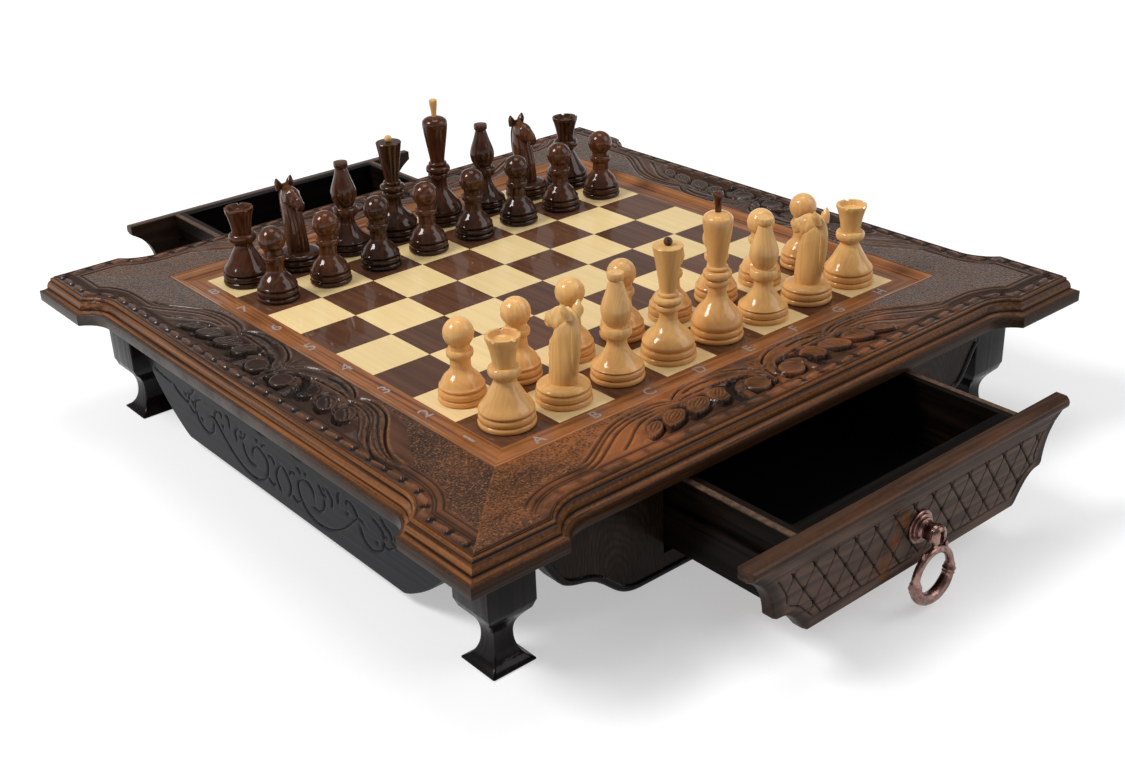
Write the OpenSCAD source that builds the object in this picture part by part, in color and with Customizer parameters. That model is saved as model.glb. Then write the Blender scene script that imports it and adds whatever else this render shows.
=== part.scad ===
// Chess table-box on four feet: a moulded frame round an inlaid board, a carcass
// of shaped aprons, and two side-hung drawers that open to the front and the back.
// Sizes are in millimetres. The origin is the middle of the floor under the feet;
// the first rank faces -Y, the front, and the letters A to H run along +X.

/* [Board] */
// Side of one square
square = 41; // [37:0.5:45]
// Width of the lettered border round the squares
border_w = 12.3; // [9:0.1:16]
// Width of the bead strip between border and frame
bead_w = 6.6; // [4:0.1:9]
// Thickness of the veneered squares and border
veneer_t = 0.8; // [0.5:0.1:1.5]
// Height of the frame above the squares
lip_h = 3.7; // [2.5:0.1:6]

/* [Frame] */
// Width of a frame rail at its ears
rail_w = 67; // [62:1:76]
// Thickness of a frame rail
rail_t = 18.6; // [15:0.1:24]
// Depth of the recess between two ears
recess = 12.3; // [8:0.1:15]
// Straight length of an ear from its corner
ear_len = 61.5; // [50:0.5:80]
// Length of the cove that ends an ear
cove_run = 20.5; // [14:0.5:28]
// Height of the flat band below the moulding
band_h = 7.2; // [4:0.1:9]
// Inset of the moulding at the top
ogee_in = 8.5; // [6:0.1:12]

/* [Feet and aprons] */
// Height of the frame's underside above the floor
stand_h = 82.7; // [80:0.1:95]
// Distance from the ears' edge to the middle of a foot
foot_inset = 47.5; // [44:0.5:52]
// Width of the square block at the top of a foot
foot_block_w = 32; // [28:0.5:36]
// Width of a foot at its waist
foot_waist_w = 12.8; // [10:0.2:18]
// Width of a foot on the floor
foot_base_w = 29; // [24:0.5:34]
// Height of the foot's waist
foot_waist_z = 18; // [14:0.5:22]
// Height of the shoulder where the block begins
foot_block_z = 38.5; // [34:0.5:44]
// Diameter of the two dowels that join a foot to the frame
dowel_d = 8; // [6:0.5:9]
// Length of those dowels
dowel_l = 30; // [20:1:36]
// Thickness of the aprons
apron_t = 12; // [9:0.5:15]
// Height of the front and back aprons above the floor
front_apron_z = 12.4; // [9:0.1:16]
// Height of the side aprons above the floor
side_apron_z = 6.8; // [5:0.1:12]
// Set-back of the side aprons behind the feet
side_step = 7.8; // [4:0.1:12]

/* [Drawers] */
// Width of a drawer box
drawer_w = 191; // [170:1:205]
// Height of a drawer's sides
drawer_h = 47; // [44:0.5:48]
// Gap between a drawer's sides and the frame above
top_gap = 3.5; // [2:0.1:5]
// Thickness of a drawer's sides
side_t = 8; // [7:0.5:10]
// Thickness of the inner front of a drawer box
box_front_t = 7; // [6:0.5:10]
// Thickness of a drawer's back
back_t = 8; // [6:0.5:10]
// Thickness of a drawer's bottom
bottom_t = 3; // [2.5:0.5:5]
// Thickness of the felt lining
felt_t = 1; // [0.8:0.1:2]
// Thickness of the carved drawer front
front_t = 7.6; // [6:0.1:10]
// Width of the carved drawer front
front_w = 268; // [240:1:275]
// Height of the carved drawer front
front_h = 57; // [54:0.5:58]
// Distance that the front drawer stands open
front_open = 91.2; // [0:0.1:140]
// Distance that the back drawer stands open
back_open = 134; // [0:0.1:140]
// Height of a runner
runner_h = 10; // [8:0.5:12]
// Depth that a runner reaches into the drawer's side
runner_bite = 3.1; // [2:0.1:4]
// Thickness of the cheeks that carry the runners
cheek_t = 10; // [9:0.5:14]
// Thickness of the bottom panel
panel_t = 4; // [3:0.5:6]
// Thickness of the divider between the two drawers
divider_t = 10; // [8:0.5:16]

/* [Pulls] */
// Diameter of the rosette
rosette_d = 20; // [18:0.5:24]
// Length of the pull's post from the drawer front
post_l = 15; // [14:0.5:18]
// Diameter of the post's tip
post_d = 12.4; // [11:0.2:13]
// Height of the pull above the lower edge of the drawer front
pull_up = 25.6; // [23:0.1:29]
// Diameter of the hinge pin
pin_d = 2; // [1.6:0.1:2.4]
// Mean diameter of the drop ring
ring_d = 30; // [26:0.5:31]
// Thickness of the drop ring
ring_t = 7.4; // [6:0.1:8]
// Distance from the pin to the middle of the ring
ring_drop = 25.4; // [25:0.1:26.5]
// Diameter of the screw behind a pull
screw_d = 4; // [3:0.5:5]

/* [Chess men] */
// Diameter of the foot of a chief piece
man_d = 33.2; // [28:0.2:36]
// Diameter of the foot of a pawn
pawn_d = 28.6; // [24:0.2:32]
// Height of a king with its peg
king_h = 93; // [84:1:104]
// Height of a queen with its ball
queen_h = 75.6; // [70:0.5:84]
// Height of a bishop
bishop_h = 66; // [60:0.5:74]
// Height of a knight
knight_h = 62.5; // [56:0.5:70]
// Height of a rook
rook_h = 53.3; // [48:0.5:60]
// Height of a pawn
pawn_h = 50.4; // [45:0.2:56]

/* [Hidden] */

$fn = 48;
eps = 0.01;
fit = 0.1;       // clearance round a screw, a dowel or a glued peg
run_fit = 0.05;  // radial clearance of a turning pin
slide_gap = 0.9; // clearance beside a drawer
seat_gap = 0.3;  // clearance of a part that rests on another body

// Plan of the frame
half_board = 4 * square;
half_border = half_board + border_w;
half_in = half_border + bead_w;
half_out = half_in + rail_w;
half_recess = half_out - recess;
cove_r = (cove_run * cove_run + recess * recess) / (2 * recess);
cove_x = half_out - ear_len - cove_run;
moulding_shoulder = 0.8;
moulding_steps = 8;
top_fillet = 1.2;

// Levels
rail_top = stand_h + rail_t;
board_z = rail_top - lip_h;
core_z = board_z - veneer_t;

// Carcass
foot_c = half_out - foot_inset;
face_y = foot_c + foot_block_w / 2;
post_in = foot_c - foot_block_w / 2;
dowel_off = foot_block_w / 4;
dowel_up = rail_t * 0.65;
dowel_down = dowel_l - dowel_up;
apron_in_y = face_y - apron_t;
side_x = face_y - side_step;
side_in_x = side_x - apron_t;
drawer_top = stand_h - top_gap;
drawer_z = drawer_top - drawer_h;
bay_x = drawer_w / 2 + slide_gap;
bay_gap = 6;
bay_z = drawer_z - bay_gap;
groove_drop = 10.3;
groove_play = 0.5;
groove_top = drawer_top - groove_drop;
groove_h = runner_h + seat_gap + groove_play;
groove_depth = runner_bite + seat_gap;
runner_t = slide_gap + runner_bite;
runner_top = groove_top - seat_gap;
panel_z = bay_z - panel_t;
divider_h = runner_top - runner_h - bay_z - 2;

// Drawer, closed
closed_y = face_y + seat_gap;
drawer_end_gap = 2;
drawer_back_y = divider_t / 2 + drawer_end_gap;
drawer_in_x = drawer_w / 2 - side_t;
bottom_up = 2;
bottom_z = drawer_z + bottom_up;
felt_z = bottom_z + bottom_t;
front_top_gap = 3.7;
front_z = stand_h - front_top_gap - front_h;
cornice_h = 6.5;
cornice_out = 2.6;

// Pull
pull_z = front_z + pull_up;
pull_y = closed_y + front_t;
slot_w = 3.6;
pin_back = 4;
pin_y = pull_y + post_l - pin_back;
eye_r = 3.1;
mouth_up = eye_r + 0.5;
tab_t = slot_w - 2 * seat_gap;
screw_grip = post_l - 2 * pin_back - 1.5;
pin_l = post_d - 0.6;

// Small fasteners
wood_screw_d = 3;
wood_screw_head_d = 6;
wood_screw_l = 16;
runner_screw_l = 10;

function mix(a, b, t) = a + (b - a) * t;
// Points along a cubic curve from a to d that leaves towards b and arrives from c
function bow(a, b, c, d, n = 8) = [for (i = [0:n]) let (t = i / n, s = 1 - t)
    s * s * s * a + 3 * s * s * t * b + 3 * s * t * t * c + t * t * t * d];
// The same points from last to first, and all but the first
function reversed(p) = [for (i = [len(p) - 1:-1:0]) p[i]];
function rest(p) = [for (i = [1:len(p) - 1]) p[i]];
// Points of an arc round c, from one angle to another
function arc(c, r, a0, a1, n = 6) = [for (i = [0:n])
    c + r * [cos(mix(a0, a1, i / n)), sin(mix(a0, a1, i / n))]];

// ---------------------------------------------------------------- frame

// Edge of a rail as [inset, height]: flat band, shoulder, ogee and top fillet
function edge_line() = concat(
    [[0, 0], [0, band_h], [moulding_shoulder, band_h + moulding_shoulder]],
    [for (i = [1:moulding_steps]) let (t = i / moulding_steps)
        [mix(2 * moulding_shoulder, ogee_in, t),
         mix(band_h + moulding_shoulder, rail_t - top_fillet,
             t - sin(360 * t) / 2 / PI)]],
    [[ogee_in, rail_t]]);

// Straight stretch of rail between two x, with its moulded edge at y = -edge
module rail_slab(x0, x1, edge) {
    translate([x0, 0, stand_h]) rotate([90, 0, 90]) linear_extrude(x1 - x0)
        polygon(concat([for (p = edge_line()) [-edge + p[0], p[1]]],
                       [[-half_in, rail_t], [-half_in, 0]]));
}

// Body that cuts the coved and moulded end of an ear
module cove_cutter() {
    translate([0, -half_recess - cove_r, stand_h]) rotate_extrude()
        polygon(concat([[0, -1], [cove_r, -1]],
                       [for (p = edge_line()) [cove_r + p[0], p[1]]],
                       [[cove_r + ogee_in, rail_t + 1], [0, rail_t + 1]]));
}

module front_ear() {
    difference() {
        rail_slab(cove_x, half_out, half_out);
        translate([cove_x, 0, 0]) cove_cutter();
    }
}

// Keeps the part of its children between the two mitre lines of the front side
module mitred(reach, z0, z1) {
    intersection() {
        children();
        translate([0, 0, z0]) linear_extrude(z1 - z0)
            polygon([[0, 0], [-reach, -reach], [reach, -reach]]);
    }
}

module rail() {
    mitred(half_out + 1, stand_h - 1, rail_top + 1) {
        union() {
            rail_slab(-cove_x, cove_x, half_recess);
            front_ear();
            mirror([1, 0, 0]) front_ear();
        }
    }
}

// One rail with the sockets of its four dowels, two at each end
module doweled_rail(turn) {
    color("#4a2c1a") rotate([0, 0, turn]) difference() {
        rail();
        at_dowels() translate([0, 0, -1])
            cylinder(d = dowel_d + fit, h = 1 + dowel_up + fit);
    }
}
// Dowels stand each side of a mitre, one in each rail, on the frame's underside
module at_dowels() {
    for (sx = [-1, 1], sy = [-1, 1], s = [-1, 1])
        translate([sx * (foot_c + s * dowel_off), sy * (foot_c - s * dowel_off), stand_h])
            children();
}

module front_rail() doweled_rail(0);
module right_rail() doweled_rail(90);
module back_rail() doweled_rail(180);
module left_rail() doweled_rail(270);

module bead_strips() {
    ease = 1.2;
    bead_h = lip_h + veneer_t;
    section = [[-half_in, 0], [-half_border, 0], [-half_border, bead_h - ease],
               [-half_border - ease, bead_h], [-half_in, bead_h]];
    color("#8a4b22") for (a = [0:90:270]) rotate([0, 0, a])
        mitred(half_in + 1, core_z - 1, rail_top + 1)
            translate([-half_in, 0, core_z]) rotate([90, 0, 90])
                linear_extrude(2 * half_in) polygon(section);
}

// ---------------------------------------------------------------- board

module board_core() {
    color("#b08a5a") translate([-half_in, -half_in, stand_h])
        cube([2 * half_in, 2 * half_in, core_z - stand_h]);
}

module border_strips() {
    color("#6b3420") for (a = [0:90:270]) rotate([0, 0, a])
        translate([0, 0, core_z]) linear_extrude(veneer_t)
            polygon([[-half_board, -half_board], [half_board, -half_board],
                     [half_border, -half_border], [-half_border, -half_border]]);
}

// Squares of one colour; a1 is dark
module squares(parity) {
    for (i = [0:7], j = [0:7]) if ((i + j) % 2 == parity)
        translate([(i - 4) * square, (j - 4) * square, core_z])
            cube([square, square, veneer_t]);
}
module dark_squares() color("#5a3a26") squares(0);
module light_squares() color("#e6c98a") squares(1);

// ---------------------------------------------------------------- feet

// Half outline of a foot: flared base, waist, shoulder and block
function foot_side() = let (b = foot_base_w / 2, w = foot_waist_w / 2,
                            k = foot_block_w / 2, zw = foot_waist_z, zb = foot_block_z)
    concat(bow([b, 0.6], [b * 0.62, 3], [w, zw * 0.55], [w, zw]),
           rest(bow([w, zw], [w, mix(zw, zb, 0.4)], [mix(w, k, 0.4), mix(zw, zb, 0.55)],
                    [mix(w, k, 0.82), mix(zw, zb, 0.78)], 6)),
           [[k, zb]]);
module foot_profile() {
    side = foot_side();
    polygon(concat([[foot_base_w / 2, 0]], side, [[foot_block_w / 2, stand_h],
                   [-foot_block_w / 2, stand_h]],
                   [for (p = reversed(side)) [-p[0], p[1]]], [[-foot_base_w / 2, 0]]));
}
module foot(sx, sy) {
    color("#1e1512") translate([sx * foot_c, sy * foot_c, 0]) difference() {
        intersection() {
            rotate([90, 0, 0]) translate([0, 0, -foot_block_w])
                linear_extrude(2 * foot_block_w) foot_profile();
            rotate([90, 0, 90]) translate([0, 0, -foot_block_w])
                linear_extrude(2 * foot_block_w) foot_profile();
        }
        for (s = [-1, 1])
            translate([s * sx * dowel_off, -s * sy * dowel_off, stand_h - dowel_down - fit])
                cylinder(d = dowel_d + fit, h = dowel_down + 1);
    }
}
module front_left_foot() foot(-1, -1);
module front_right_foot() foot(1, -1);
module back_left_foot() foot(-1, 1);
module back_right_foot() foot(1, 1);

module foot_dowels() {
    color("#c9a56b") at_dowels() translate([0, 0, -dowel_down])
        cylinder(d = dowel_d, h = dowel_l);
}

// ---------------------------------------------------------------- aprons

// Mirrors a half outline (x falling to the middle) into a closed polygon
module both_halves(half) {
    polygon(concat(half, [for (p = reversed(half)) [-p[0], p[1]]]));
}

// Front apron: an S-shaped end, a cusp, and a second S down to the flat. The places
// are distances in from the foot and up from the lower edge.
end_up = 50;
cusp_at = [17, 26.5];
knee_at = [45, 14];
flat_in = 72;
function front_apron_half() =
    let (e = post_in, z0 = front_apron_z, end = [e, z0 + end_up],
         cusp = [e - cusp_at[0], z0 + cusp_at[1]], knee = [e - knee_at[0], z0 + knee_at[1]])
    concat([[e, stand_h]],
           bow(end, end - [6, 6], cusp + [7, 5.5], cusp, 6),
           rest(bow(cusp, cusp - [10, 6.5], knee + [11, 10], knee, 6)),
           rest(bow(knee, knee - [8, 7], [e - flat_in + 14, z0], [e - flat_in, z0], 6)));
module apron_y() {
    color("#2b1a12") difference() {
        rotate([90, 0, 0]) translate([0, 0, apron_in_y]) linear_extrude(apron_t)
            both_halves(front_apron_half());
        translate([-bay_x, -face_y - 1, bay_z])
            cube([2 * bay_x, apron_t + 2, stand_h]);
    }
}
module front_apron() apron_y();
module back_apron() rotate([0, 0, 180]) apron_y();

// Side apron: a boat-shaped board with raking ends and a long hollow rise
rake_up = 54;
rise_at = [13, 35];
keel_at = [53, 3];
keel_in = 64;
function side_apron_half() =
    let (e = post_in, z0 = side_apron_z, rake = [e, z0 + rake_up],
         rise = [e - rise_at[0], z0 + rise_at[1]], keel = [e - keel_at[0], z0 + keel_at[1]])
    concat([[e, stand_h]],
           bow(rake, rake - [4, 8], rise + [5, 5], rise, 6),
           rest(bow(rise, rise - [14, 16], keel + [14, 7.5], keel, 7)),
           rest(bow(keel, keel - [5, 2.2], [e - keel_in + 4, z0], [e - keel_in, z0], 3)));
module apron_x() {
    color("#2c2a2e") rotate([90, 0, 90]) translate([0, 0, side_in_x])
        linear_extrude(apron_t) both_halves(side_apron_half());
}
module right_apron() apron_x();
module left_apron() rotate([0, 0, 180]) apron_x();

// ---------------------------------------------------------------- carcass

panel_hole_y = [0.2, 0.55, 0.9];

module wood_screw(l) {
    cylinder(d = wood_screw_d, h = l);
    cylinder(d1 = wood_screw_head_d, d2 = wood_screw_d,
             h = (wood_screw_head_d - wood_screw_d) / 2);
}
module screw_hole(l) {
    cylinder(d = wood_screw_d + 2 * fit, h = l + fit);
    translate([0, 0, -eps]) cylinder(d1 = wood_screw_head_d + 2 * fit,
        d2 = wood_screw_d + 2 * fit, h = (wood_screw_head_d - wood_screw_d) / 2 + eps);
}
// Screws that come up through the bottom panel into the cheeks
module at_panel_screws() {
    for (sx = [-1, 1], sy = [-1, 1], k = panel_hole_y)
        translate([sx * (bay_x + cheek_t / 2), sy * k * apron_in_y, panel_z]) children();
}
// Screws that go through a runner into its cheek
module at_runner_screws() {
    for (sx = [-1, 1], sy = [-1, 1], k = panel_hole_y)
        translate([sx * (bay_x - runner_t), sy * k * apron_in_y,
                   runner_top - runner_h / 2]) rotate([0, sx * 90, 0]) children();
}

module cheek(s) {
    color("#6d4a2f") difference() {
        translate([s > 0 ? bay_x : -bay_x - cheek_t, -apron_in_y, bay_z])
            cube([cheek_t, 2 * apron_in_y, stand_h - bay_z]);
        at_panel_screws() screw_hole(wood_screw_l);
        at_runner_screws() screw_hole(runner_screw_l);
    }
}
module left_cheek() cheek(-1);
module right_cheek() cheek(1);

module runners() {
    color("#7a5636") difference() {
        for (s = [-1, 1])
            translate([s > 0 ? bay_x - runner_t : -bay_x, -apron_in_y,
                       runner_top - runner_h])
                cube([runner_t, 2 * apron_in_y, runner_h]);
        at_runner_screws() screw_hole(runner_screw_l);
    }
}

module centre_divider() {
    color("#6d4a2f") translate([-bay_x, -divider_t / 2, bay_z])
        cube([2 * bay_x, divider_t, divider_h]);
}

module bottom_panel() {
    color("#a57c4e") difference() {
        translate([-bay_x - cheek_t, -apron_in_y, panel_z])
            cube([2 * (bay_x + cheek_t), 2 * apron_in_y, panel_t]);
        at_panel_screws() screw_hole(wood_screw_l);
    }
}

module carcass_screws() {
    color("#8d8f92") {
        at_panel_screws() wood_screw(wood_screw_l);
        at_runner_screws() wood_screw(runner_screw_l);
    }
}

// ---------------------------------------------------------------- drawers
// Each piece of a drawer is drawn closed at the front, then put in its place.

module in_front() translate([0, -front_open, 0]) children();
module in_back() rotate([0, 0, 180]) translate([0, -back_open, 0]) children();

// Outline of the carved front: short upright ends, then two hollow curves with a
// cusp between them, and a flat lower edge
front_cusp_at = [19, 20];
front_flat_in = 46;
function front_half() =
    let (e = front_w / 2, z0 = front_z, t = front_z + front_h,
         cusp = [e - front_cusp_at[0], z0 + front_cusp_at[1]], flat = e - front_flat_in)
    concat([[e, t]],
           bow([e, t - cornice_h - 0.5], [e - 7, t - 11.5], [e - 17, t - 17],
               cusp + [0.6, 0.9], 6),
           bow(cusp + [-0.9, -0.6], [cusp[0] - 10, cusp[1]], [flat + 11, z0 + 13],
               [flat + 4, z0 + 3], 6),
           [[flat, z0]]);
// Section of the rounded moulding along the front's top edge, as [out, height]
function cornice_line() = concat([[0, -cornice_h]],
    rest(bow([0, -cornice_h], [cornice_out * 1.4, -cornice_h + 0.6],
             [cornice_out * 1.3, -3], [cornice_out * 0.4, -0.6], 6)), [[0, 0]]);
module drawer_front() {
    color("#5b3823") difference() {
        union() {
            rotate([90, 0, 0]) translate([0, 0, closed_y]) linear_extrude(front_t)
                both_halves(front_half());
            translate([-front_w / 2, -pull_y, front_z + front_h]) rotate([90, 0, 90])
                linear_extrude(front_w)
                    polygon([for (p = concat([[-1, -cornice_h], [-1, 0]],
                                             reversed(cornice_line()))) [-p[0], p[1]]]);
        }
        pull_bore();
    }
}
module pull_bore() {
    translate([0, 0, pull_z]) rotate([90, 0, 0])
        cylinder(d = screw_d + 2 * fit, h = pull_y + 1);
}
module drawer_box_front() {
    color("#6b452b") difference() {
        translate([-drawer_in_x, -closed_y, drawer_z])
            cube([2 * drawer_in_x, box_front_t, drawer_h]);
        pull_bore();
    }
}
module drawer_sides() {
    color("#6b452b") for (s = [0, 1]) mirror([s, 0, 0]) difference() {
        translate([drawer_in_x, -closed_y, drawer_z])
            cube([side_t, closed_y - drawer_back_y, drawer_h]);
        translate([drawer_w / 2 - groove_depth, -closed_y - 1, groove_top - groove_h])
            cube([groove_depth + 1, closed_y + 2, groove_h]);
    }
}
module drawer_back() {
    color("#6b452b") translate([-drawer_in_x, -drawer_back_y - back_t, drawer_z])
        cube([2 * drawer_in_x, back_t, drawer_h]);
}
module drawer_floor(z, t) {
    y0 = closed_y - box_front_t;
    translate([-drawer_in_x, -y0, z])
        cube([2 * drawer_in_x, y0 - drawer_back_y - back_t, t]);
}
module drawer_bottom() color("#a57c4e") drawer_floor(bottom_z, bottom_t);
module drawer_felt() color("#101014") drawer_floor(felt_z, felt_t);

// ---------------------------------------------------------------- pulls

// Puts its children on the pull's axis, with z running out of the drawer front
module on_pull_axis() {
    translate([0, -pull_y, pull_z]) rotate([90, 0, 0]) children();
}
module pull_post() {
    r = rosette_d / 2;
    p = post_d / 2;
    color("#8a5a44") difference() {
        on_pull_axis() rotate_extrude() polygon(concat([[0, 0], [r, 0]],
            arc([r - 0.8, 0.8], 0.8, 0, 90, 3), [[r - 1.8, 1.6]],
            arc([r - 2.4, 2.3], 0.7, 0, 90, 3), [[r - 3.2, 3.1], [r - 3.4, 4.2]],
            bow([p - 0.4, 4.6], [p - 1.4, 6], [p - 1, post_l - 7], [p, post_l - 4.5], 5),
            bow([p, post_l - 4], [p, post_l - 1.5], [p - 1, post_l - 0.3],
                [p - 2.6, post_l], 4), [[0, post_l]]));
        // mouth for the eye of the ring, open in front and below and shut above
        on_pull_axis() translate([-slot_w / 2, -post_d, post_l - 2 * pin_back])
            cube([slot_w, post_d + mouth_up, 2 * pin_back + 1]);
        // hole for the pin
        translate([0, -pin_y, pull_z]) rotate([0, 90, 0])
            cylinder(d = pin_d + fit, h = 2 * post_d, center = true);
        // socket for the screw
        on_pull_axis() translate([0, 0, -1])
            cylinder(d = screw_d + 2 * fit, h = 1 + screw_grip);
    }
}
module pull_pin() {
    color("#6f4a38") translate([0, -pin_y, pull_z]) rotate([0, 90, 0])
        cylinder(d = pin_d, h = pin_l, center = true);
}
// Drop ring with its eye, two side knobs and a heavier foot
module pull_ring() {
    knob_r = ring_t / 2 + 0.9;
    color("#8a5a44") difference() {
        translate([0, -pin_y, pull_z]) union() {
            rotate([0, 90, 0]) cylinder(r = eye_r, h = tab_t, center = true);
            translate([-tab_t / 2, -eye_r * 0.8, -ring_drop + ring_d / 2])
                cube([tab_t, eye_r * 1.6, ring_drop - ring_d / 2]);
            translate([0, 0, -ring_drop]) {
                rotate([90, 0, 0]) rotate_extrude()
                    translate([ring_d / 2, 0]) circle(d = ring_t, $fn = 24);
                for (s = [-1, 1]) translate([s * ring_d / 2, 0, 0]) sphere(knob_r);
            }
        }
        translate([0, -pin_y, pull_z]) rotate([0, 90, 0])
            cylinder(d = pin_d + 2 * run_fit, h = 2 * tab_t, center = true);
    }
}
// Pan-headed screw from inside the drawer into the post
module pull_screw() {
    head_t = 2;
    color("#9a9ca0") translate([0, -closed_y + box_front_t, pull_z]) rotate([90, 0, 0]) {
        translate([0, 0, -head_t]) cylinder(d = 2 * screw_d, h = head_t);
        cylinder(d = screw_d, h = box_front_t + front_t + screw_grip - fit);
    }
}

module front_drawer_front() in_front() drawer_front();
module front_drawer_box_front() in_front() drawer_box_front();
module front_drawer_sides() in_front() drawer_sides();
module front_drawer_back() in_front() drawer_back();
module front_drawer_bottom() in_front() drawer_bottom();
module front_drawer_felt() in_front() drawer_felt();
module front_pull_post() in_front() pull_post();
module front_pull_pin() in_front() pull_pin();
module front_pull_ring() in_front() pull_ring();
module pull_screws_front() in_front() pull_screw();
module back_drawer_front() in_back() drawer_front();
module back_drawer_box_front() in_back() drawer_box_front();
module back_drawer_sides() in_back() drawer_sides();
module back_drawer_back() in_back() drawer_back();
module back_drawer_bottom() in_back() drawer_bottom();
module back_drawer_felt() in_back() drawer_felt();
module back_pull_post() in_back() pull_post();
module back_pull_pin() in_back() pull_pin();
module back_pull_ring() in_back() pull_ring();
module pull_screws_back() in_back() pull_screw();

// ---------------------------------------------------------------- chess men
// Every turned man is one outline of [radius, height] swept round its axis. The
// foot of radius r has two rings and a bell that rises to the neck n at height z.

function man_foot(r, n, z) = concat(
    [[0, 0], [r * 0.96, 0], [r, 0.8], [r, 2.4], [r * 0.95, 3.5], [r * 0.91, 4.1],
     [r * 0.94, 4.8], [r * 0.975, 6.2], [r * 0.96, 7.4], [r * 0.92, 8.2]],
    bow([r * 0.92, 8.4], [r * 1.0, mix(8.4, z, 0.5)], [n + 0.3, mix(8.4, z, 0.5)],
        [n, z], 10));
// Thin disc with a rounded rim, between heights z0 and z1 on a neck of radius n
function disc(n, r, z0, z1) = [[n, z0], [mix(n, r, 0.75), mix(z0, z1, 0.2)],
    [r, mix(z0, z1, 0.5)], [mix(n, r, 0.8), mix(z0, z1, 0.85)], [n, z1]];

module turned(outline) rotate_extrude() polygon(outline);

module pawn() {
    k = pawn_h / 50.4;
    ball = 9;
    centre = pawn_h - ball;
    neck = 5.9;
    turned(concat(man_foot(pawn_d / 2, neck, 24 * k), disc(neck, 7.9, 27 * k, 31.6 * k),
                  arc([0, centre], ball, -acos(neck / ball), 90, 12)));
}
module rook() {
    k = rook_h / 53.3;
    lip = 9.8;
    notch_w = 3;
    difference() {
        turned(concat(man_foot(man_d / 2, 6.2, 27 * k), disc(6.2, 9.4, 29.5 * k, 35.5 * k),
                      bow([6.4, 35.5 * k], [6.8, 42 * k], [8.8, 47 * k], [lip, rook_h - 2]),
                      [[lip, rook_h], [lip - 1.8, rook_h], [lip - 3, rook_h - 4],
                       [0, rook_h - 4.6]]));
        for (a = [0, 90]) rotate([0, 0, a + 45]) translate([-lip - 1, -notch_w / 2, rook_h - 1.6])
            cube([2 * lip + 2, notch_w, 3]);
    }
}
module bishop() {
    k = bishop_h / 66;
    button_r = 5;
    button_z = bishop_h - 3.6;
    turned(concat(man_foot(man_d / 2, 6, 24 * k), disc(6, 9, 26.5 * k, 32.5 * k),
                  bow([4.6, 32.6 * k], [11.5, 36 * k], [11, 51 * k], [3.6, 61 * k], 12),
                  [[button_r - 1.1, button_z], [button_r, button_z + 1],
                   [button_r, button_z + 2.2], [button_r - 0.8, button_z + 3.2],
                   [0, bishop_h]]));
}
queen_ball_r = 2.7;
queen_top = queen_h - 2 * queen_ball_r + 0.4;
peg_seat = 6;
module queen() {
    k = queen_h / 75.6;
    difference() {
        turned(concat(man_foot(man_d / 2, 5.5, 27 * k), disc(5.5, 7.8, 30.4 * k, 34.4 * k),
                      disc(5.2, 8.9, 35 * k, 39 * k), disc(5.2, 6.3, 39.4 * k, 41.8 * k),
                      [[5, 42.2 * k], [9.2, queen_top - 0.5], [8.9, queen_top],
                       [0, queen_top]]));
        translate([0, 0, queen_top - peg_seat])
            cylinder(r = queen_ball_r * 0.5 + fit, h = peg_seat + 1);
    }
}
module queen_ball() {
    translate([0, 0, queen_h - queen_ball_r]) sphere(queen_ball_r);
    translate([0, 0, queen_top - peg_seat + fit])
        cylinder(r = queen_ball_r * 0.5, h = peg_seat);
}
peg_l = 12.6;
king_top = king_h - peg_l;
module king() {
    k = king_h / 93;
    difference() {
        turned(concat(man_foot(man_d / 2, 5.7, 30 * k), disc(5.7, 7.7, 34 * k, 38 * k),
                      disc(5.4, 8.9, 38.6 * k, 43.4 * k), disc(5.4, 6.7, 43.8 * k, 46.4 * k),
                      [[5.2, 46.8 * k]],
                      bow([9.1, king_top - 8], [9.6, king_top - 4], [6, king_top - 0.6],
                          [0, king_top], 8)));
        translate([0, 0, king_top - peg_seat])
            cylinder(r = 1.8 + fit, h = peg_seat + 2);
    }
}
module king_peg() {
    translate([0, 0, king_top - peg_seat + fit])
        rotate_extrude() polygon([[0, 0], [1.8, 0], [1.8, peg_seat],
            [3, peg_seat + peg_l - 2.4], [2.9, peg_seat + peg_l - 1],
            [2.2, peg_seat + peg_l - fit], [0, peg_seat + peg_l - fit]]);
}

// Side view of the knight's neck and head as [forward, height], looking to +x
function knight_side(k) = concat(
    [[-7.5, 0], [8, 0]],
    bow([8, 0], [7.6, 14 * k], [8.6, 20 * k], [5.2, 29 * k], 6),
    [[4.4, 31.5 * k], [6.4, 32.4 * k], [9.4, 31.6 * k]],
    bow([11.4, 32.6 * k], [13.6, 34.4 * k], [13.2, 38 * k], [11.2, 41 * k], 4),
    [[6, 44.4 * k], [1.6, 46.4 * k], [-4, 47.2 * k], [-7.4, 51.5 * k], [-10.6, 51.5 * k]],
    bow([-10.6, 51.5 * k], [-16.4, 43 * k], [-14.6, 18 * k], [-7.5, 0], 8));
// Front view as [sideways, height], one half
function knight_front(k) = [[8, 0], [8.2, 8 * k], [7.2, 22 * k], [6.4, 32 * k],
    [6.6, 42 * k], [6.6, 47 * k], [5.6, 50.6 * k], [3, 50.6 * k], [1.2, 46 * k]];
module knight() {
    neck_z = 11;
    k = (knight_h - neck_z) / 50.6;
    turned(concat(man_foot(man_d / 2, man_d * 0.38, neck_z + 1), [[0, neck_z + 1]]));
    translate([0, 0, neck_z]) intersection() {
        rotate([90, 0, 0]) translate([0, 0, -man_d / 2]) linear_extrude(man_d)
            polygon(knight_side(k));
        rotate([90, 0, 90]) translate([0, 0, -man_d / 2]) linear_extrude(man_d)
            both_halves(knight_front(k));
    }
}

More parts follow.
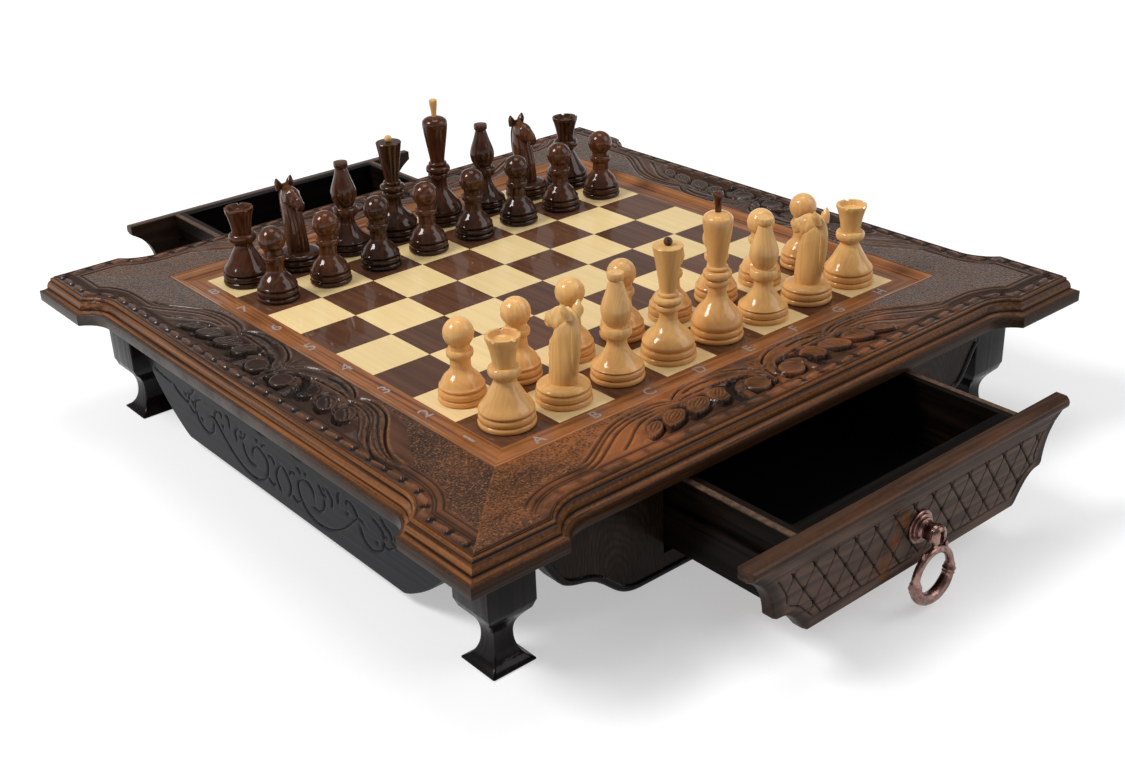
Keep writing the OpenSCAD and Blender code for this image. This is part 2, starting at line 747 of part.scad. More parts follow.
// Puts a man on a file (0 to 7) and a rank (0 to 7), turned by an angle
module on_square(file, rank, turn = 0) {
    translate([(file - 3.5) * square, (rank - 3.5) * square, board_z])
        rotate([0, 0, turn]) children();
}
module pair(file, rank, turn = 0) {
    for (f = [file, 7 - file]) on_square(f, rank, turn) children();
}
light = "#d9a760";
dark = "#4a2618";
module light_pawns() color(light) for (f = [0:7]) on_square(f, 1) pawn();
module light_rooks() color(light) pair(0, 0) rook();
module light_knights() color(light) pair(1, 0, 90) knight();
module light_bishops() color(light) pair(2, 0) bishop();
module light_queen() color(light) on_square(3, 0) queen();
module light_queen_ball() color(dark) on_square(3, 0) queen_ball();
module light_king() color(light) on_square(4, 0) king();
module light_king_peg() color(dark) on_square(4, 0) king_peg();
module dark_pawns() color(dark) for (f = [0:7]) on_square(f, 6) pawn();
module dark_rooks() color(dark) pair(0, 7) rook();
module dark_knights() color(dark) pair(1, 7, 270) knight();
module dark_bishops() color(dark) pair(2, 7) bishop();
module dark_queen() color(dark) on_square(3, 7) queen();
module dark_queen_ball() color(light) on_square(3, 7) queen_ball();
module dark_king() color(dark) on_square(4, 7) king();
module dark_king_peg() color(light) on_square(4, 7) king_peg();

front_rail();
right_rail();
back_rail();
left_rail();
bead_strips();
board_core();
border_strips();
light_squares();
dark_squares();
front_apron();
back_apron();
left_apron();
right_apron();
front_left_foot();
front_right_foot();
back_left_foot();
back_right_foot();
foot_dowels();
left_cheek();
right_cheek();
runners();
centre_divider();
bottom_panel();
carcass_screws();
front_drawer_front();
front_drawer_box_front();
front_drawer_sides();
front_drawer_back();
front_drawer_bottom();
front_drawer_felt();
front_pull_post();
front_pull_pin();
front_pull_ring();
back_drawer_front();
back_drawer_box_front();
back_drawer_sides();
back_drawer_back();
back_drawer_bottom();
back_drawer_felt();
back_pull_post();
back_pull_pin();
back_pull_ring();
pull_screws_front();
pull_screws_back();
light_pawns();
light_rooks();
light_knights();
light_bishops();
light_queen();
light_queen_ball();
light_king();
light_king_peg();
dark_pawns();
dark_rooks();
dark_knights();
dark_bishops();
dark_queen();
dark_queen_ball();
dark_king();
dark_king_peg();
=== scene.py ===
"""Chess box with drawers: carved frame, inlaid board, hung drawers and turned men.

Lengths of the pieces are in millimetres and become metres in put_mesh. Materials and the
stage are in metres.
"""

import math

import bpy
import numpy as np
from bpy.props import FloatProperty, FloatVectorProperty, IntProperty, PointerProperty
from mathutils import Matrix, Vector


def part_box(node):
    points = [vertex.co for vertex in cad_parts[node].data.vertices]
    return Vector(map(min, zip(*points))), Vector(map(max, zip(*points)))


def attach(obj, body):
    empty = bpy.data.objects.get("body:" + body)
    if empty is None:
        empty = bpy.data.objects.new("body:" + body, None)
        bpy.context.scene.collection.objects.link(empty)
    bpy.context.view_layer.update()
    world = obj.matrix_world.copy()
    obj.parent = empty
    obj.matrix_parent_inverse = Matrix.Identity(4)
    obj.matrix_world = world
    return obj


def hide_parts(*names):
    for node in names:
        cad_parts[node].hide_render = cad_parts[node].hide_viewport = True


bl_info = {
    "name": "Chess Box With Drawers",
    "version": (1, 0, 0),
    "blender": (4, 5, 0),
    "location": "View3D > Sidebar > Chess Box",
    "description": "Builds the carved, inlaid and turned surfaces of a chess box",
    "category": "Add Mesh",
}

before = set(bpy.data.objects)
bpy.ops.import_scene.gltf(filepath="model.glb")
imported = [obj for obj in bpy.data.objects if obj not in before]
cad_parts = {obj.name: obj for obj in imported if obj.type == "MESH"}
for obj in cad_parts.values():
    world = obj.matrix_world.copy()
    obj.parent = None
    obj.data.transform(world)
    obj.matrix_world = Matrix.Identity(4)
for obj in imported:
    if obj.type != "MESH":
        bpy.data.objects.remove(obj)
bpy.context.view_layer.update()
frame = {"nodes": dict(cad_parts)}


def low(node):
    """Lowest corner of a node in millimetres."""
    return np.array(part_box(node)[0]) * 1000


def high(node):
    """Highest corner of a node in millimetres."""
    return np.array(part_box(node)[1]) * 1000


# driving sizes from the frame: heights of the board and of the rails, and half widths from
# the board outwards
BOARD_Z = high("light_squares")[2]
HALF_BOARD = high("light_squares")[0]
SQUARE = HALF_BOARD / 4
HALF_BORDER = high("border_strips")[0]
HALF_IN = high("bead_strips")[0]
HALF_OUT = high("front_rail")[0]
RAIL_TOP = high("front_rail")[2]
STAND_H = low("front_rail")[2]


# ---------------------------------------------------------------- settings


def colour(name, description, default):
    """A colour property in linear light."""
    return FloatVectorProperty(
        name=name, description=description, subtype="COLOR", size=3, min=0, max=1, default=default
    )


class ChessBoxColours(bpy.types.PropertyGroup):
    """Colours of the woods and metals."""

    frame: colour("Frame", "Stained wood of the carved frame", (0.098, 0.040, 0.019))
    # also the colour of the painted highlights on the rims and crests of the carving
    wear_and_highlight: colour("Rubbed edges", "Frame wood where the stain has rubbed off", (0.44, 0.165, 0.045))
    border: colour("Border", "Veneer that carries the letters", (0.36, 0.132, 0.046))
    light_square: colour("Light squares", "Veneer of the light squares", (0.84, 0.63, 0.31))
    dark_square: colour("Dark squares", "Veneer of the dark squares", (0.130, 0.054, 0.028))
    light_men: colour("Light men", "Polished boxwood", (0.82, 0.50, 0.185))
    dark_men: colour("Dark men", "Stained and polished wood", (0.084, 0.030, 0.012))
    lacquer: colour("Side lacquer", "Lacquer of the side aprons", (0.010, 0.010, 0.013))
    bronze: colour("Pulls", "Copper-toned bronze of the pulls", (0.33, 0.195, 0.165))


class ChessBoxSizes(bpy.types.PropertyGroup):
    """Sizes that the builders read."""

    turns: IntProperty(
        name="Facets round a man", description="Segments round each turned man",
        default=64, min=24, max=128,
    )
    letter: FloatProperty(
        name="Letter height", description="Height of the border letters in millimetres",
        default=7.8, min=4, max=10,
    )


def tint(name):
    """A colour of the settings with alpha."""
    return (*getattr(bpy.context.scene.chess_box_colours, name), 1.0)


def size(name):
    """A size of the settings."""
    return getattr(bpy.context.scene.chess_box_sizes, name)


# ---------------------------------------------------------------- surfaces


def through(points, count):
    """Catmull-Rom curve through the points: each span is the cubic whose end slopes are
    half the difference of the neighbours on both sides."""
    p = np.asarray(points, float)
    p = np.vstack([2 * p[0] - p[1], p, 2 * p[-1] - p[-2]])
    t = np.linspace(0, len(p) - 3 - 1e-9, count)
    i = t.astype(int)
    f = (t - i)[:, None]
    a, b, c, d = p[i], p[i + 1], p[i + 2], p[i + 3]
    square, cube = 2 * a - 5 * b + 4 * c - d, 3 * b - a - 3 * c + d
    return 0.5 * (2 * b + (c - a) * f + square * f**2 + cube * f**3)


def ring(inner, outer, z0, z1, count=9):
    """Rim of a turned ring: the radius rises from inner to outer with the square root of a
    sine while the height runs from z0 to z1 with a cosine."""
    a = np.linspace(0, math.pi, count)
    radius = inner + (outer - inner) * np.sqrt(np.sin(a).clip(0))
    return np.stack([radius, (z0 + z1) / 2 - (z1 - z0) / 2 * np.cos(a)], 1)


def dome(radius, middle, start, count):
    """Round head: an arc from a start angle in degrees to just short of the axis."""
    a = np.radians(np.linspace(start, 90, count))[:-1]
    return np.stack([radius * np.cos(a), middle + radius * np.sin(a)], 1)


def round_angles(count):
    """Angles of a whole turn in equal steps."""
    return np.linspace(0, 2 * math.pi, count, endpoint=False)


def bell(v, at, width, power=2):
    """Bell curve: 1 at a value and 1/e a width away; a higher power flattens its top."""
    return np.exp(-(((v - at) / width) ** power))


def soft_step(x, a, b):
    """0 before a, 1 after b, smooth between."""
    t = np.clip((x - a) / (b - a), 0, 1)
    return t * t * (3 - 2 * t)


def across(values, t):
    """The value at a share t, from 0 to 1, of a row of evenly spread values."""
    return np.interp(t, np.linspace(0, 1, len(values)), values)


def strip(rows, cols, wrap_rows=False, wrap_cols=False, flip=False):
    """Quads between the neighbours of a rows by cols grid of points. A wrapped direction
    closes on itself."""
    r, c = np.meshgrid(np.arange(rows - (not wrap_rows)), np.arange(cols - (not wrap_cols)), indexing="ij")
    r2, c2 = (r + 1) % rows, (c + 1) % cols
    quads = np.stack([r * cols + c, r * cols + c2, r2 * cols + c2, r2 * cols + c], -1).reshape(-1, 4)
    return quads[:, ::-1] if flip else quads


def fan(loop, hub):
    """Triangles between the sides of a closed loop of points and one point."""
    return np.stack([loop, np.roll(loop, -1), np.full(len(loop), hub)], 1)


def capped(grid, first=None, last=None, flip=False):
    """Closed surface over a grid whose rows are rings of points: quads between the rings,
    and over each end ring a fan to its mean, or to the point that is given."""
    rows, n = grid.shape[:2]
    hubs = [grid[0].mean(0) if first is None else first, grid[-1].mean(0) if last is None else last]
    points = np.vstack([grid.reshape(-1, 3), hubs])
    k = np.arange(n)
    tris = np.vstack([fan(k[::-1], rows * n), fan((rows - 1) * n + k, rows * n + 1)])
    return points, strip(rows, n, wrap_cols=True, flip=flip), tris[:, ::-1] if flip else tris


def lathe(outline, segments):
    """Surface of revolution about z: the outline of [radius, height] starts and ends on the
    axis, and each of its inner points becomes a circle."""
    o = np.asarray(outline, float)
    radius, height = o[1:-1, :1], o[1:-1, 1:]
    a = round_angles(segments)
    grid = np.stack([radius * np.cos(a), radius * np.sin(a), np.repeat(height, segments, 1)], -1)
    return capped(grid, (0, 0, o[0, 1]), (0, 0, o[-1, 1]))


def joined(*shapes):
    """One shape of (points, quads, triangles) from several."""
    points, quads, tris, start = [], [], [], 0
    for p, q, *t in shapes:
        points.append(p)
        quads.append(q + start)
        tris.append((t[0] if t else np.zeros((0, 3), int)) + start)
        start += len(p)
    return np.vstack(points), np.vstack(quads), np.vstack(tris)


def moved(shape, by=(0, 0, 0), turn=0.0):
    """The shape turned about z by an angle in degrees, then moved."""
    points, *faces = shape
    c, s = math.cos(math.radians(turn)), math.sin(math.radians(turn))
    return (points @ np.array([[c, s, 0], [-s, c, 0], [0, 0, 1.0]]) + np.asarray(by, float), *faces)


def put_mesh(name, shapes, material, body, replaces=(), marks=None, sharp=35.0):
    """One object from shapes in millimetres. marks are named values on the points, and
    edges turn sharp above an angle in degrees."""
    points, quads, tris = joined(*shapes)
    mesh = bpy.data.meshes.new(name)
    mesh.vertices.add(len(points))
    mesh.vertices.foreach_set("co", (points * 0.001).astype(np.float32).ravel())
    loops = np.concatenate([quads.ravel(), tris.ravel()]).astype(np.int32)
    mesh.loops.add(len(loops))
    mesh.loops.foreach_set("vertex_index", loops)
    firsts = np.concatenate([np.arange(len(quads)) * 4, quads.size + np.arange(len(tris)) * 3])
    mesh.polygons.add(len(firsts))
    mesh.polygons.foreach_set("loop_start", firsts.astype(np.int32))
    mesh.polygons.foreach_set("use_smooth", np.ones(len(firsts), bool))
    for key, values in (marks or {}).items():
        attribute = mesh.attributes.new(key, "FLOAT", "POINT")
        attribute.data.foreach_set("value", np.asarray(values, np.float32).ravel())
    mesh.update(calc_edges=True)
    if mesh.validate():
        raise RuntimeError(f"{name}: the mesh had bad faces")
    mesh.set_sharp_from_angle(angle=math.radians(sharp))
    mesh.materials.append(material)
    piece = bpy.data.objects.new(name, mesh)
    bpy.context.scene.collection.objects.link(piece)
    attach(piece, body)
    if replaces:
        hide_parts(*replaces)


# ---------------------------------------------------------------- materials


class Web:
    """Adds nodes to one node tree. A plain value is set on the socket, a socket is linked."""

    def __init__(self, tree):
        self.tree = tree

    def feed(self, node, inputs):
        """Links sockets to a node's inputs, and sets plain values on them."""
        for key, value in inputs.items():
            if isinstance(value, bpy.types.NodeSocket):
                self.tree.links.new(value, node.inputs[key])
            else:
                node.inputs[key].default_value = value

    def node(self, kind, inputs=None, **settings):
        made = self.tree.nodes.new(kind)
        for key, value in settings.items():
            setattr(made, key, value)
        self.feed(made, inputs or {})
        return made

    def math(self, operation, a, b=0.0, c=0.0, clamp=False):
        inputs = {0: a, 1: b, 2: c}
        return self.node("ShaderNodeMath", inputs, operation=operation, use_clamp=clamp).outputs[0]

    def times(self, a, b, clamp=False):
        return self.math("MULTIPLY", a, b, clamp=clamp)

    def line(self, value, slope, start):
        """slope * value + start"""
        return self.math("MULTIPLY_ADD", value, slope, start)

    def vector(self, operation, a, b=(0, 0, 0), out=0):
        return self.node("ShaderNodeVectorMath", {0: a, 1: b}, operation=operation).outputs[out]

    def split(self, vector):
        return self.node("ShaderNodeSeparateXYZ", {0: vector}).outputs

    def joint(self, x, y, z):
        return self.node("ShaderNodeCombineXYZ", {0: x, 1: y, 2: z}).outputs[0]

    def grey(self, value):
        return self.node("ShaderNodeCombineColor", {0: value, 1: value, 2: value}).outputs[0]

    def blend(self, factor, a, b, kind="MIX"):
        settings = {"data_type": "RGBA", "blend_type": kind, "clamp_result": True}
        return self.node("ShaderNodeMix", {0: factor, 6: a, 7: b}, **settings).outputs[2]

    def span(self, value, a, b, c=0.0, d=1.0):
        return self.node("ShaderNodeMapRange", {0: value, 1: a, 2: b, 3: c, 4: d}).outputs[0]

    def noise(self, vector, scale, detail=3.0, roughness=0.5, distortion=0.0):
        inputs = {"Vector": vector, "Scale": scale, "Detail": detail}
        inputs |= {"Roughness": roughness, "Distortion": distortion}
        return self.node("ShaderNodeTexNoise", inputs).outputs["Fac"]

    def mapped(self, vector, scale):
        return self.node("ShaderNodeMapping", {"Vector": vector, "Scale": scale}).outputs[0]

    def marks(self, *names):
        """Named values on the points of the mesh."""
        kind = {"attribute_type": "GEOMETRY"}
        made = [self.node("ShaderNodeAttribute", attribute_name=name, **kind) for name in names]
        return [node.outputs["Fac"] for node in made]

    def shared(self, name, inputs):
        """A shared effect with its own values."""
        return self.node("ShaderNodeGroup", inputs, node_tree=GROUPS[name]).outputs

    def grain(self, vector, scale, late, early, streaks):
        """Colour and height of the shared wood grain."""
        inputs = {"Vector": vector, "Scale": scale, "Late Wood": late, "Early Wood": early}
        made = self.shared("Wood Grain", inputs | {"Streaks": streaks})
        return made["Color"], made["Height"]


GROUPS = {}


def group(name, inputs, outputs):
    """A new shader node group: its web, the sockets it reads, and its output node. inputs
    map names to defaults, outputs map names to kinds."""
    tree = bpy.data.node_groups.new(name, "ShaderNodeTree")
    kinds = {float: "NodeSocketFloat", tuple: "NodeSocketColor", list: "NodeSocketVector"}
    for key, default in inputs.items():
        socket = tree.interface.new_socket(name=key, in_out="INPUT", socket_type=kinds[type(default)])
        socket.default_value = default
    for key, kind in outputs.items():
        tree.interface.new_socket(name=key, in_out="OUTPUT", socket_type=kinds[kind])
    GROUPS[name] = tree
    web = Web(tree)
    return web, web.node("NodeGroupInput").outputs, web.node("NodeGroupOutput")


def make_groups():
    """Effects that several materials share."""
    place = [0.0, 0.0, 0.0]
    inputs = {"Vector": place, "Scale": 300.0, "Late Wood": (0.1, 0.04, 0.02, 1.0),
              "Early Wood": (0.3, 0.12, 0.05, 1.0), "Streaks": 0.5}
    web, i, out = group("Wood Grain", inputs, {"Color": tuple, "Height": float})
    broad = web.noise(i["Vector"], web.times(i["Scale"], 0.12), 2.0, 0.5, 0.4)
    bands = web.line(web.math("SINE", web.times(broad, 70.0)), 0.5, 0.5)
    fibre = web.noise(i["Vector"], i["Scale"], 5.0, 0.62)
    fibre = web.times(fibre, web.math("SUBTRACT", 1.4, i["Streaks"]))
    mask = web.span(web.math("ADD", web.times(bands, i["Streaks"]), fibre), 0.3, 0.95)
    web.feed(out, {"Color": web.blend(mask, i["Late Wood"], i["Early Wood"]), "Height": mask})

    inputs = {"Vector": place, "Cell": 0.041, "Spread": 0.2}
    web, i, out = group("Cell Tone", inputs, {"Vector": list, "Tone": float, "Hue": float})
    cell = web.vector("FLOOR", web.vector("DIVIDE", i["Vector"], web.joint(i["Cell"], i["Cell"], 100.0)))
    white = web.node("ShaderNodeTexWhiteNoise", {"Vector": cell}, noise_dimensions="3D").outputs
    tone = web.line(web.math("SUBTRACT", white["Value"], 0.5), i["Spread"], 1.0)
    hue = web.node("ShaderNodeSeparateColor", {0: white["Color"]}).outputs[1]
    web.feed(out, {"Vector": web.vector("ADD", i["Vector"], white["Color"]), "Tone": tone, "Hue": hue})

    # a mask broken up by grit, for worn edges together with the painted highlights on rims
    inputs = {"Vector": place, "Mask": 0.0, "Amount": 0.6, "Scale": 400.0}
    web, i, out = group("Broken Edge Mask", inputs, {"Factor": float})
    grit = web.noise(i["Vector"], i["Scale"], 4.0, 0.7)
    broken = web.times(i["Mask"], web.span(grit, 0.3, 0.68))
    web.feed(out, {"Factor": web.times(broken, i["Amount"], clamp=True)})


def new_material(name):
    """An empty material with its web, Principled shader and Object coordinates."""
    material = bpy.data.materials.new(name)
    material.use_nodes = True
    material.node_tree.nodes.clear()
    web = Web(material.node_tree)
    shader = web.node("ShaderNodeBsdfPrincipled")
    web.node("ShaderNodeOutputMaterial", {"Surface": shader.outputs[0]})
    return material, web, shader, web.node("ShaderNodeTexCoord").outputs["Object"]


def shade(web, shader, colour, roughness, height=None, strength=0.3, distance=0.0004,
          coat=0.0, coat_roughness=0.1, metallic=0.0, specular=0.05):
    """Feeds the shader: colour and roughness, a bump from the height, and fixed values."""
    inputs = {"Base Color": colour, "Roughness": roughness, "Metallic": metallic,
              "Coat Weight": coat, "Coat Roughness": coat_roughness, "Specular IOR Level": specular}
    if height is not None:
        bump = web.node("ShaderNodeBump", {"Height": height, "Strength": strength, "Distance": distance})
        inputs["Normal"] = bump.outputs[0]
        if coat:
            inputs["Coat Normal"] = bump.outputs[0]
    web.feed(shader, inputs)


def tinted(colour, share):
    """A darker colour with alpha: each channel is multiplied by the share."""
    return (*(c * share for c in colour[:3]), 1.0)


def plain_wood(name, late, early, along, scale=260.0, streaks=0.5, gloss=0.42, coat=0.0,
               coat_roughness=0.15, specular=0.05):
    """Planed or polished wood with its grain along one axis."""
    material, web, shader, where = new_material(name)
    stretch = [0.05 if axis == along else 1.0 for axis in "xyz"]
    colour, height = web.grain(web.mapped(where, stretch), scale, late, early, streaks)
    dirt = web.span(web.noise(where, 18.0, 4.0, 0.6), 0.35, 0.7, 0.0, 0.35)
    rough = web.span(height, 0.0, 1.0, gloss + 0.1, gloss - 0.05)
    shade(web, shader, web.blend(dirt, colour, late), rough, height, 0.18, coat=coat,
          coat_roughness=coat_roughness, specular=specular)
    return material


def squares_grain(web, where, spread, stretch, scale, late, early, streaks):
    """Grain cut from another place for every square of the board, and the square's tones."""
    cell = web.shared("Cell Tone", {"Vector": where, "Cell": SQUARE / 1000, "Spread": spread})
    colour, height = web.grain(web.mapped(cell["Vector"], stretch), scale, late, early, streaks)
    return cell, colour, height


def turned_wood(name, colour, streak, spread, red, base, gloss):
    """Polished turned wood: upright grain that differs from man to man, and the base colour painted into the
    foot as shade near the board."""
    material, web, shader, where = new_material(name)
    late = tinted(colour, streak)
    cell, warm, height = squares_grain(web, where, spread, (1.0, 1.0, 0.07), 420.0, late, colour, 0.45)
    warm = web.blend(web.times(cell["Hue"], 0.45), warm, red)
    # painted shade: near the board the foot takes the darker base colour
    level = web.math("ADD", web.split(where)[2], web.times(web.noise(where, 50.0, 2.0), 0.012))
    board = BOARD_Z / 1000
    warm = web.blend(web.span(level, board + 0.006, board + 0.030, 0.75, 0.0), warm, base)
    toned = web.blend(1.0, warm, web.grey(cell["Tone"]), "MULTIPLY")
    rough = web.span(height, 0.0, 1.0, 0.42, 0.34)
    shade(web, shader, toned, rough, height, 0.03, coat=0.62, coat_roughness=gloss, specular=0.03)
    return material


def veneer(name, late, early, spread, scale):
    """Lacquered veneer squares: grain along y, each square cut from another place."""
    material, web, shader, where = new_material(name)
    cell, colour, height = squares_grain(web, where, spread, (1.0, 0.04, 1.0), scale, late, early, 0.3)
    toned = web.blend(1.0, colour, web.grey(cell["Tone"]), "MULTIPLY")
    rough = web.span(height, 0.0, 1.0, 0.38, 0.3)
    shade(web, shader, toned, rough, web.noise(where, 9.0, 2.0), 0.06, 0.0006, coat=0.75, coat_roughness=0.05)
    return material


def box_wood(name):
    """Nearly black stained wood of the drawer boxes, worn to brown along the top edges."""
    material, web, shader, where = new_material(name)
    late, early = (0.002, 0.0014, 0.001, 1), (0.010, 0.0058, 0.004, 1)
    colour, height = web.grain(web.mapped(where, (1.0, 0.05, 1.0)), 260.0, late, early, 0.5)
    beside, _, top = high("front_drawer_sides") / 1000
    x, _, z = web.split(where)
    outer = web.span(web.math("ABSOLUTE", x), beside - 0.004, beside - 0.0035)
    edge = web.times(web.span(z, top - 0.0012, top - 0.0004), outer)
    chips = web.span(web.noise(where, 300.0, 4.0, 0.7), 0.35, 0.6, 0.4, 1.0)
    colour = web.blend(web.times(edge, chips), colour, (0.120, 0.072, 0.048, 1))
    rough = web.span(height, 0.0, 1.0, 0.5, 0.36)
    shade(web, shader, colour, rough, height, 0.18, coat=0.06, coat_roughness=0.2, specular=0.04)
    return material


def arched_wood(name):
    """Dark waxed board cut so that its year rings show as fine arches."""
    material, web, shader, where = new_material(name)
    x, _, z = web.split(where)
    sway = web.line(web.noise(where, 22.0, 3.0, 0.5), 0.034, -0.149)
    flat = web.joint(web.math("ADD", web.math("ABSOLUTE", x), sway), 0.0, web.times(z, 0.36))
    radius = web.vector("LENGTH", flat, out="Value")
    rings = web.line(web.math("SINE", web.times(radius, 2900.0)), 0.5, 0.5)
    fibre = web.span(web.noise(web.mapped(where, (1.0, 1.0, 0.1)), 700.0, 4.0, 0.7), 0.3, 0.66, 0.1, 1.0)
    cloud = web.span(web.noise(where, 35.0, 3.0, 0.6), 0.35, 0.65, 0.25, 1.0)
    mask = web.times(web.line(rings, 0.6, 0.4), web.times(cloud, fibre))
    colour = web.blend(mask, (0.006, 0.003, 0.002, 1), (0.052, 0.029, 0.018, 1))
    rough = web.span(mask, 0.0, 1.0, 0.5, 0.38)
    shade(web, shader, colour, rough, mask, 0.15, coat=0.12, coat_roughness=0.16)
    return material


def felt_cloth(name):
    """Short black pile: fine noise in colour and bump, with a soft sheen."""
    material, web, shader, where = new_material(name)
    pile = web.noise(where, 1600.0, 6.0, 0.8)
    lint = web.span(web.noise(where, 240.0, 2.0, 0.9), 0.72, 0.8)
    colour = web.blend(pile, (0.0004, 0.0004, 0.0006, 1), (0.0016, 0.0016, 0.0028, 1))
    colour = web.blend(lint, colour, (0.006, 0.006, 0.008, 1))
    shade(web, shader, colour, 0.95, pile, 0.9, 0.0006, specular=0.02)
    web.feed(shader, {"Sheen Weight": 0.004, "Sheen Roughness": 0.5})
    return material


def metal(name, colour, tarnish, gloss):
    """Metal with tarnish in its hollows and fine handling marks."""
    material, web, shader, where = new_material(name)
    cloud = web.span(web.noise(where, 160.0, 4.0, 0.65), 0.4, 0.66)
    scratches = web.noise(web.mapped(where, (1.0, 1.0, 0.12)), 1500.0, 3.0, 0.7)
    rough = web.span(scratches, 0.3, 0.7, gloss - 0.06, gloss + 0.12)
    shade(web, shader, web.blend(cloud, colour, tarnish), rough, scratches, 0.08, 0.0002,
          metallic=1.0, specular=0.5)
    return material


MATERIALS = {}


def make_materials():
    """All finishes, by name."""
    make_groups()
    m = MATERIALS
    stained, border = tint("frame"), tint("border")
    light, dark = tint("light_square"), tint("dark_square")
    woods = {
        "frame": ("Frame wood", tinted(stained, 0.4), stained, "x", 260, 0.6, 0.36, 0.5, 0.25),
        "core": ("Core board", (0.36, 0.22, 0.11, 1), (0.58, 0.40, 0.22, 1), "x", 160),
        "lacquer": ("Side lacquer", tint("lacquer"), (0.028, 0.026, 0.030, 1), "y",
                    180, 0.4, 0.3, 0.15, 0.1),
        "foot": ("Foot wood", (0.0025, 0.002, 0.002, 1), (0.009, 0.0065, 0.0055, 1), "z",
                 260, 0.5, 0.3, 0.17, 0.06),
        "carcass": ("Carcass wood", (0.10, 0.05, 0.025, 1), (0.22, 0.12, 0.06, 1), "y", 200),
        "panel": ("Panel wood", (0.30, 0.18, 0.09, 1), (0.48, 0.32, 0.17, 1), "y", 160),
        "dowel": ("Dowel wood", (0.45, 0.30, 0.15, 1), (0.62, 0.45, 0.25, 1), "z", 300),
        "drawer_face": ("Drawer face wood", (0.015, 0.008, 0.005, 1), (0.085, 0.038, 0.020, 1), "x",
                        260, 0.6, 0.32, 0.15, 0.2),
        "box_front": ("Box front wood", (0.0012, 0.001, 0.0008, 1), (0.006, 0.004, 0.003, 1), "x",
                      260, 0.4, 0.5),
        "silver": ("Silver leaf", (0.17, 0.13, 0.11, 1), (0.42, 0.375, 0.345, 1), "z",
                   1100, 0.2, 0.4, 0.5, 0.1, 0.2),
    }
    for key, values in woods.items():
        m[key] = plain_wood(*values)
    m["bead"] = framed_wood("Bead strip wood", (0.17, 0.055, 0.02, 1), (0.40, 0.175, 0.07, 1),
                            300, 0.3, 0.4, 0.12)
    m["border"] = framed_wood("Border veneer", tinted(border, 0.22), border, 420, 0.26, 0.7, 0.06)
    m["light_square"] = veneer("Light veneer", tinted(light, 0.9), light, 0.12, 260.0)
    m["dark_square"] = veneer("Dark veneer", tinted(dark, 0.55), dark, 0.35, 300.0)
    m["apron"] = arched_wood("Apron wood")
    m["drawer_wood"] = box_wood("Drawer box wood")
    # men: the last colour of each is the shade painted into the foot
    m["light_men"] = turned_wood("Boxwood men", tint("light_men"), 0.80, 0.16, (0.72, 0.32, 0.10, 1),
                                 (0.66, 0.315, 0.095, 1), 0.075)
    m["dark_men"] = turned_wood("Dark stained men", tint("dark_men"), 0.22, 0.6, (0.13, 0.034, 0.009, 1),
                                (0.016, 0.0065, 0.0035, 1), 0.035)
    m["felt"] = felt_cloth("Black felt")
    m["bronze"] = metal("Copper bronze", tint("bronze"), (0.09, 0.045, 0.04, 1), 0.24)
    m["steel"] = metal("Zinc plate", (0.55, 0.55, 0.57, 1), (0.34, 0.34, 0.36, 1), 0.34)


def dress(material, *nodes):
    """Gives CAD nodes a material."""
    for node in nodes:
        mesh = frame["nodes"][node].data
        mesh.materials.clear()
        mesh.materials.append(MATERIALS[material])


# ---------------------------------------------------------------- chess men

# heights of the men as drawn, with their finials, and of the foot of the knight's neck
PAWN_H = 50.4
ROOK_H = 53.3
BISHOP_H = 66.0
KNIGHT_H = 62.5
QUEEN_H = 75.6
KING_H = 93.0
NECK_FOOT = 10.6
FINIAL_TURNS = 32  # segments round a finial


def foot(r, sweep, count=26):
    """Foot of a man: a rounded disc, a groove, a ring, and a sweep through the given points."""
    return np.vstack([
        [[0, 0], [r * 0.9, 0]],
        ring(r * 0.89, r, 0.1, 3.5),
        ring(r * 0.87, r * 0.975, 3.8, 7.8),
        through([[r * 0.885, 8.1], *sweep], count),
    ])


def pawn_outline():
    """Foot, collar and round head of a pawn."""
    return np.vstack([
        foot(14.3, [[13.4, 9.6], [12.5, 10.9], [10.5, 14.5], [6.6, 19.0], [6.0, 23.0], [6.1, 27.0]]),
        ring(6.2, 7.9, 27.2, 31.6),
        dome(9.0, 41.4, -47, 22),
        [[0, PAWN_H]],
    ])


def rook_outline():
    """Foot, collar and hollowed tower of a rook."""
    return np.vstack([
        foot(16.6, [[16.0, 9.4], [15.2, 11.5], [12.3, 15.4], [8.3, 22.5], [6.4, 26.3], [6.3, 29.3]]),
        ring(6.4, 9.4, 29.5, 35.4),
        through([[6.5, 35.8], [7.0, 41.0], [8.4, 47.5], [9.8, 51.6]], 12),
        [[9.8, ROOK_H], [8.0, ROOK_H], [7.0, 50.2], [5.0, 49.2], [0, 48.7]],
    ])


def bishop_outline():
    """Foot, collar, mitre and knob of a bishop."""
    return np.vstack([
        foot(16.3, [[15.4, 8.8], [14.2, 9.9], [11.8, 12.0], [8.9, 15.7], [6.2, 21.0], [6.0, 26.0]]),
        ring(6.2, 9.0, 26.4, 33.0),
        through([[6.0, 33.4], [7.2, 35.6], [8.4, 38.4], [9.1, 42.8], [8.4, 47.1], [6.2, 53.5],
                 [4.0, 60.8]], 26),
        ring(3.6, 5.0, 61.4, 66.4)[:-2],
        [[0, BISHOP_H]],
    ])


def queen_outline():
    """Foot, three collars and flared crown of a queen."""
    return np.vstack([
        foot(17.0, [[16.0, 10.4], [15.3, 12.2], [12.6, 15.6], [8.9, 18.8], [6.0, 23.0], [5.5, 26.4],
                    [5.7, 30.0]]),
        ring(5.8, 7.8, 30.3, 34.4),
        ring(6.0, 8.9, 34.9, 39.2),
        ring(5.4, 6.3, 39.6, 41.7),
        through([[5.0, 42.0], [5.3, 45.0], [7.2, 58.0], [9.1, 69.6]], 14),
        [[9.2, 70.2], [8.9, 70.6], [0, 70.7]],
    ])


